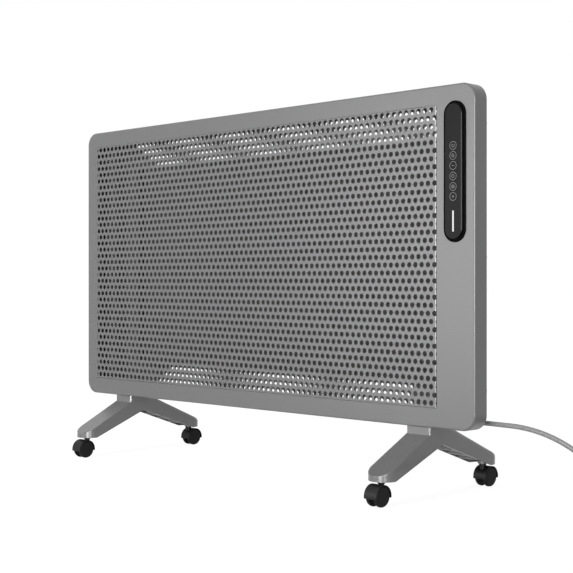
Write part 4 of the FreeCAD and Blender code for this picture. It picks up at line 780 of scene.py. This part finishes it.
@dataclass
class FrontGrille:
    """Perforated front sheet with a bevelled edge, cut as one planar mesh and then given its depth.

    The rows of holes run past the right edge, and past a margin at the left, which cut the last ones.
    """

    left: float = -391.4
    right: float = 353.6
    field_left: float = -386.4
    bottom: float = 123.5
    top: float = 521.5
    face: float = -39.6
    sheet: float = 0.5
    bevel: float = 0.9
    hole: float = 7.35
    pitch: float = 10.638
    row_pitch: float = 10.72
    first_row: float = 516.2
    last_column: float = 351.35
    rows: int = 37
    sides: int = 16
    weld: float = 1e-5

    def centres(self) -> np.ndarray:
        """Place the holes, every other row half a pitch aside.

        Returns:
            Their centres, x and z to a row.
        """
        row, column = np.mgrid[0:self.rows, 0:int((self.right - self.left) / self.pitch) + 1]
        x = self.last_column - self.pitch * column + np.where(row % 2, 0.0, self.pitch / 2)
        z = self.first_row - self.row_pitch * row
        kept = x + self.hole / 2 > self.field_left
        return np.stack([x[kept], z[kept]], 1)

    def outlines(self, centres: np.ndarray) -> Flat:
        """Draw every hole, and the rectangles along both sides of the edge's bevel.

        Args:
            centres: the holes' centres.

        Returns:
            Points, x and z to a row, and the edges between them.
        """
        turn = (np.arange(self.sides) + 0.5) * 2 * math.pi / self.sides
        ring = self.hole / 2 * np.stack([np.cos(turn), np.sin(turn)], 1)
        holes = np.maximum((centres[:, None, :] + ring).reshape(-1, 2), (self.field_left, self.bottom))
        inset = np.array([[0.0], [self.bevel]])
        low_x, high_x = self.left + inset, self.right - inset
        low_z, high_z = self.bottom + inset, self.top - inset
        corners = np.hstack([low_x, low_z, high_x, low_z, high_x, high_z, low_x, high_z]).reshape(-1, 2)
        edges = np.vstack([closed_loops(len(centres), self.sides),
                           closed_loops(len(inset), 4) + len(holes)])
        return np.vstack([holes, corners]), edges

    def flat_mesh(self) -> Flat:
        """Fill the sheet with plane triangles, leaving out those in a hole or past the right edge.

        Returns:
            Points, x and z to a row, and the triangles' corner numbers.
        """
        points, edges = self.outlines(self.centres())
        cut = delaunay_2d_cdt(points, edges, [], WHOLE_HULL, self.weld)
        spots = np.array(cut[0])
        triangles = np.array(cut[2])
        middle = spots[triangles].mean(1)
        row = np.rint((self.first_row - middle[:, 1]) / self.row_pitch)
        left_out = middle[:, 0] > self.right
        for step in (-1, 0, 1):
            near = np.clip(row + step, 0, self.rows - 1)
            start = self.last_column + np.where(near % 2, 0.0, self.pitch / 2)
            column = np.maximum(np.rint((start - middle[:, 0]) / self.pitch), 0)
            gap = np.hypot(middle[:, 0] - start + self.pitch * column,
                           middle[:, 1] - self.first_row + self.row_pitch * near)
            left_out |= (gap < self.hole / 2) & (middle[:, 0] > self.field_left)
        used, index = np.unique(triangles[~left_out], return_inverse=True)
        return spots[used], index.reshape(-1, 3)

    def depth_at(self, spots: np.ndarray) -> np.ndarray:
        """Bring the front surface to its depth: flat, and sloping back over the bevel's width at the edge.

        Args:
            spots: places on the sheet, x and z to a row.

        Returns:
            The depth at each place.
        """
        edge = np.minimum.reduce([spots[:, 0] - self.left, self.right - spots[:, 0],
                                  spots[:, 1] - self.bottom, self.top - spots[:, 1]])
        return self.face + np.clip(self.bevel - edge, 0.0, None)

    def build(self) -> None:
        """Front surface, the same surface a sheet's thickness behind it, and walls round every opening."""
        spots, triangles = self.flat_mesh()
        depth = self.depth_at(spots)
        front = np.column_stack([spots[:, 0], depth, spots[:, 1]])
        behind = np.column_stack([spots[:, 0], depth + self.sheet, spots[:, 1]])
        count = len(spots)
        rim = border_edges(triangles)
        walls = np.column_stack([rim[:, 1], rim[:, 0], rim[:, 0] + count, rim[:, 1] + count])
        faces = [*triangles.tolist(), *(triangles[:, ::-1] + count).tolist(), *walls.tolist()]
        piece = add_piece("perforated_front", np.vstack([front, behind]) * MM, faces, Paint.GRILLE)
        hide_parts("front_grille")


def closed_loops(count: int, sides: int) -> np.ndarray:
    """Edges of loops whose points follow each other in one list."""
    index = np.arange(count * sides).reshape(count, sides)
    return np.stack([index, np.roll(index, -1, 1)], 2).reshape(-1, 2)


def border_edges(triangles: np.ndarray) -> np.ndarray:
    """Find the edges that only one triangle has.

    Args:
        triangles: corner numbers, three to a row.

    Returns:
        Those edges, two corner numbers to a row, in their triangle's direction.
    """
    edges = np.concatenate([triangles[:, [0, 1]], triangles[:, [1, 2]], triangles[:, [2, 0]]])
    key = np.sort(edges, 1)
    _, first, times = np.unique(key, axis=0, return_index=True, return_counts=True)
    return edges[first[times == 1]]


class Glyph(Enum):
    """Marks of the touch keys, from the top key down."""

    POWER = "power"
    CLOCK = "clock"
    LESS = "less"
    SWING = "swing"
    MODE = "mode"
    MORE = "more"


@dataclass
class ControlStrip:
    """Bezel, touch plate and light bar, with six printed keys."""

    plate_y: float = -42.9
    ink: float = 0.04
    key_heights: tuple[float, ...] = (466.2, 453.3, 440.3, 426.7, 413.2, 400.3)
    ring_radius: float = 5.2
    ring_line: float = 0.45
    mark: float = 2.1
    mark_line: float = 0.5
    power_gap: float = 0.3
    power_arc: tuple[float, float] = (125.0, 290.0)
    clock_arc: tuple[float, float] = (60.0, 300.0)
    swing_arc: tuple[float, float] = (40.0, 280.0)
    whole_turn: tuple[float, float] = (0.0, 360.0)
    arc_steps: int = 40

    def arc(self, radius: float, line: float, start: float, sweep: float) -> Flat:
        """Draw a flat band along an arc.

        Args:
            radius: the band's middle radius.
            line: its width.
            start: the angle where it starts, in degrees.
            sweep: the angle that it covers, in degrees.

        Returns:
            Two rows of points, at the inner and the outer radius, and the faces between them.
        """
        turn = np.radians(start + sweep * np.linspace(0.0, 1.0, self.arc_steps + 1))
        reach = np.array([[radius - line / 2], [radius + line / 2]])
        points = np.stack([reach * np.cos(turn), reach * np.sin(turn)], -1).reshape(-1, 2)
        return points, grid_faces(2, self.arc_steps + 1)

    def bar(self, low: tuple[float, float], high: tuple[float, float]) -> Flat:
        """A flat rectangle between two corners."""
        points = np.array([low, (high[0], low[1]), (low[0], high[1]), high])
        return points, grid_faces(2, 2)

    def strokes(self, glyph: Glyph) -> list[Flat]:
        """Draw one key's ring and mark.

        Args:
            glyph: the mark.

        Returns:
            The bands and bars that make them.
        """
        size, line, half = self.mark, self.mark_line, self.mark_line / 2
        level = self.bar((-size, -half), (size, half))
        upright = self.bar((-half, -size), (half, size))
        shapes = {
            Glyph.POWER: [self.arc(size, line, *self.power_arc),
                          self.bar((-half, self.power_gap), (half, size + half))],
            Glyph.CLOCK: [self.arc(size, line, *self.clock_arc),
                          self.bar((-half, -half), (half, size - half)),
                          self.bar((-half, -half), (size - half, half))],
            Glyph.LESS: [level],
            Glyph.SWING: [self.arc(size, line, *self.swing_arc),
                          self.bar((half, -half), (size, half))],
            Glyph.MODE: [self.bar((-size, size - line), (size, size)),
                         self.bar((-size, -size), (size, line - size)),
                         self.bar((-size, -size), (line - size, size)),
                         self.bar((size - line, -size), (size, size)),
                         level],
            Glyph.MORE: [level, upright],
        }
        return [self.arc(self.ring_radius, self.ring_line, *self.whole_turn), *shapes[glyph]]

    def key(self, glyph: Glyph, height: float) -> None:
        """Print one key: its ring and mark as thin ink just proud of the plate.

        Args:
            glyph: the key's mark.
            height: its height above the floor.
        """
        points, faces, count = [], [], 0
        for flat, quads in self.strokes(glyph):
            points.append(flat)
            faces += (quads + count).tolist()
            count += len(flat)
        flat = np.concatenate(points)
        spots = np.column_stack([flat[:, 0] + CONTROL_X, np.full(count, self.plate_y - self.ink),
                                 flat[:, 1] + height])
        piece = add_piece(f"key_mark_{glyph.value}", spots * MM, faces, Paint.INK)
        solid = piece.modifiers.new("ink", "SOLIDIFY")
        solid.thickness = self.ink * MM
        solid.offset = 0.0

    def build(self) -> None:
        """Print the keys and dress the strip."""
        for glyph, height in zip(Glyph, self.key_heights):
            self.key(glyph, height)
        dress(Paint.BEZEL, "control_bezel")
        dress(Paint.TOUCH, "touch_panel")
        dress(Paint.LIGHT, "light_bar")


@dataclass
class Casing:
    """Front frame and rear cover with their screws."""

    def build(self) -> None:
        """Dress the sheet metal."""
        dress(Paint.FRAME, "front_frame")
        dress(Paint.COVER, "rear_cover")
        dress(Paint.ZINC, "cover_screws")


@dataclass
class HeatingElement:
    """Mica sandwich, rails, spacers and reflector."""

    def build(self) -> None:
        """Dress the element and its safety devices."""
        dress(Paint.MICA, "mica_front", "mica_back")
        dress(Paint.FOIL, "heating_foil")
        dress(Paint.DARK_STEEL, "element_rail_left", "element_rail_right")
        dress(Paint.ZINC, "thermal_cutout")
        dress(Paint.CERAMIC, "element_spacers", "thermal_fuse")
        dress(Paint.REFLECTOR, "heat_reflector")


@dataclass
class Electrics:
    """Boards, switches and wiring inside the casing."""

    def build(self) -> None:
        """Dress the pieces that show only through the vents."""
        dress(Paint.BOARD, "touch_board", "power_board")
        dress(Paint.RIBBON, "control_ribbon")
        dress(Paint.NYLON, "board_spacers")
        dress(Paint.ZINC, "board_screws", "tip_switch_pin")
        dress(Paint.RELAY, "heater_relay")
        dress(Paint.SLEEVE, "filter_capacitor")
        dress(Paint.TERMINAL, "terminal_block")
        dress(Paint.SWITCH, "tip_switch_case", "room_sensor")
        dress(Paint.BRASS, "tip_switch_pendulum")
        dress(Paint.WIRE, "internal_wiring")


class Corner(Enum):
    """The four casters."""

    FRONT_LEFT = "front_left"
    FRONT_RIGHT = "front_right"
    REAR_LEFT = "rear_left"
    REAR_RIGHT = "rear_right"


@dataclass
class Undercarriage:
    """Legs, their fasteners and the casters."""

    corners: tuple[Corner, ...] = tuple(Corner)

    def build(self) -> None:
        """Dress legs and casters."""
        dress(Paint.LEG, "leg_left", "leg_right")
        dress(Paint.ZINC, "leg_screws", "leg_nut_plates")
        for corner in self.corners:
            name = f"caster_{corner.value}"
            dress(Paint.HOOD, f"{name}_hood", f"{name}_stem")
            dress(Paint.DARK_STEEL, f"{name}_axle")
            dress(Paint.WHEEL, f"{name}_wheel_left", f"{name}_wheel_right")


def main() -> None:
    """Make the view and the lead first, then every sub-assembly in order."""
    logging.basicConfig(level=logging.INFO, format="%(name)s: %(message)s")
    studio = StudioView()
    studio.camera()
    lead = MainsLead()
    lead.build()
    lead.dress()
    studio.lights()
    studio.world()
    studio.floor()
    Casing().build()
    FrontGrille().build()
    HeatingElement().build()
    ControlStrip().build()
    Electrics().build()
    Undercarriage().build()


if __name__ == "__main__":
    main()
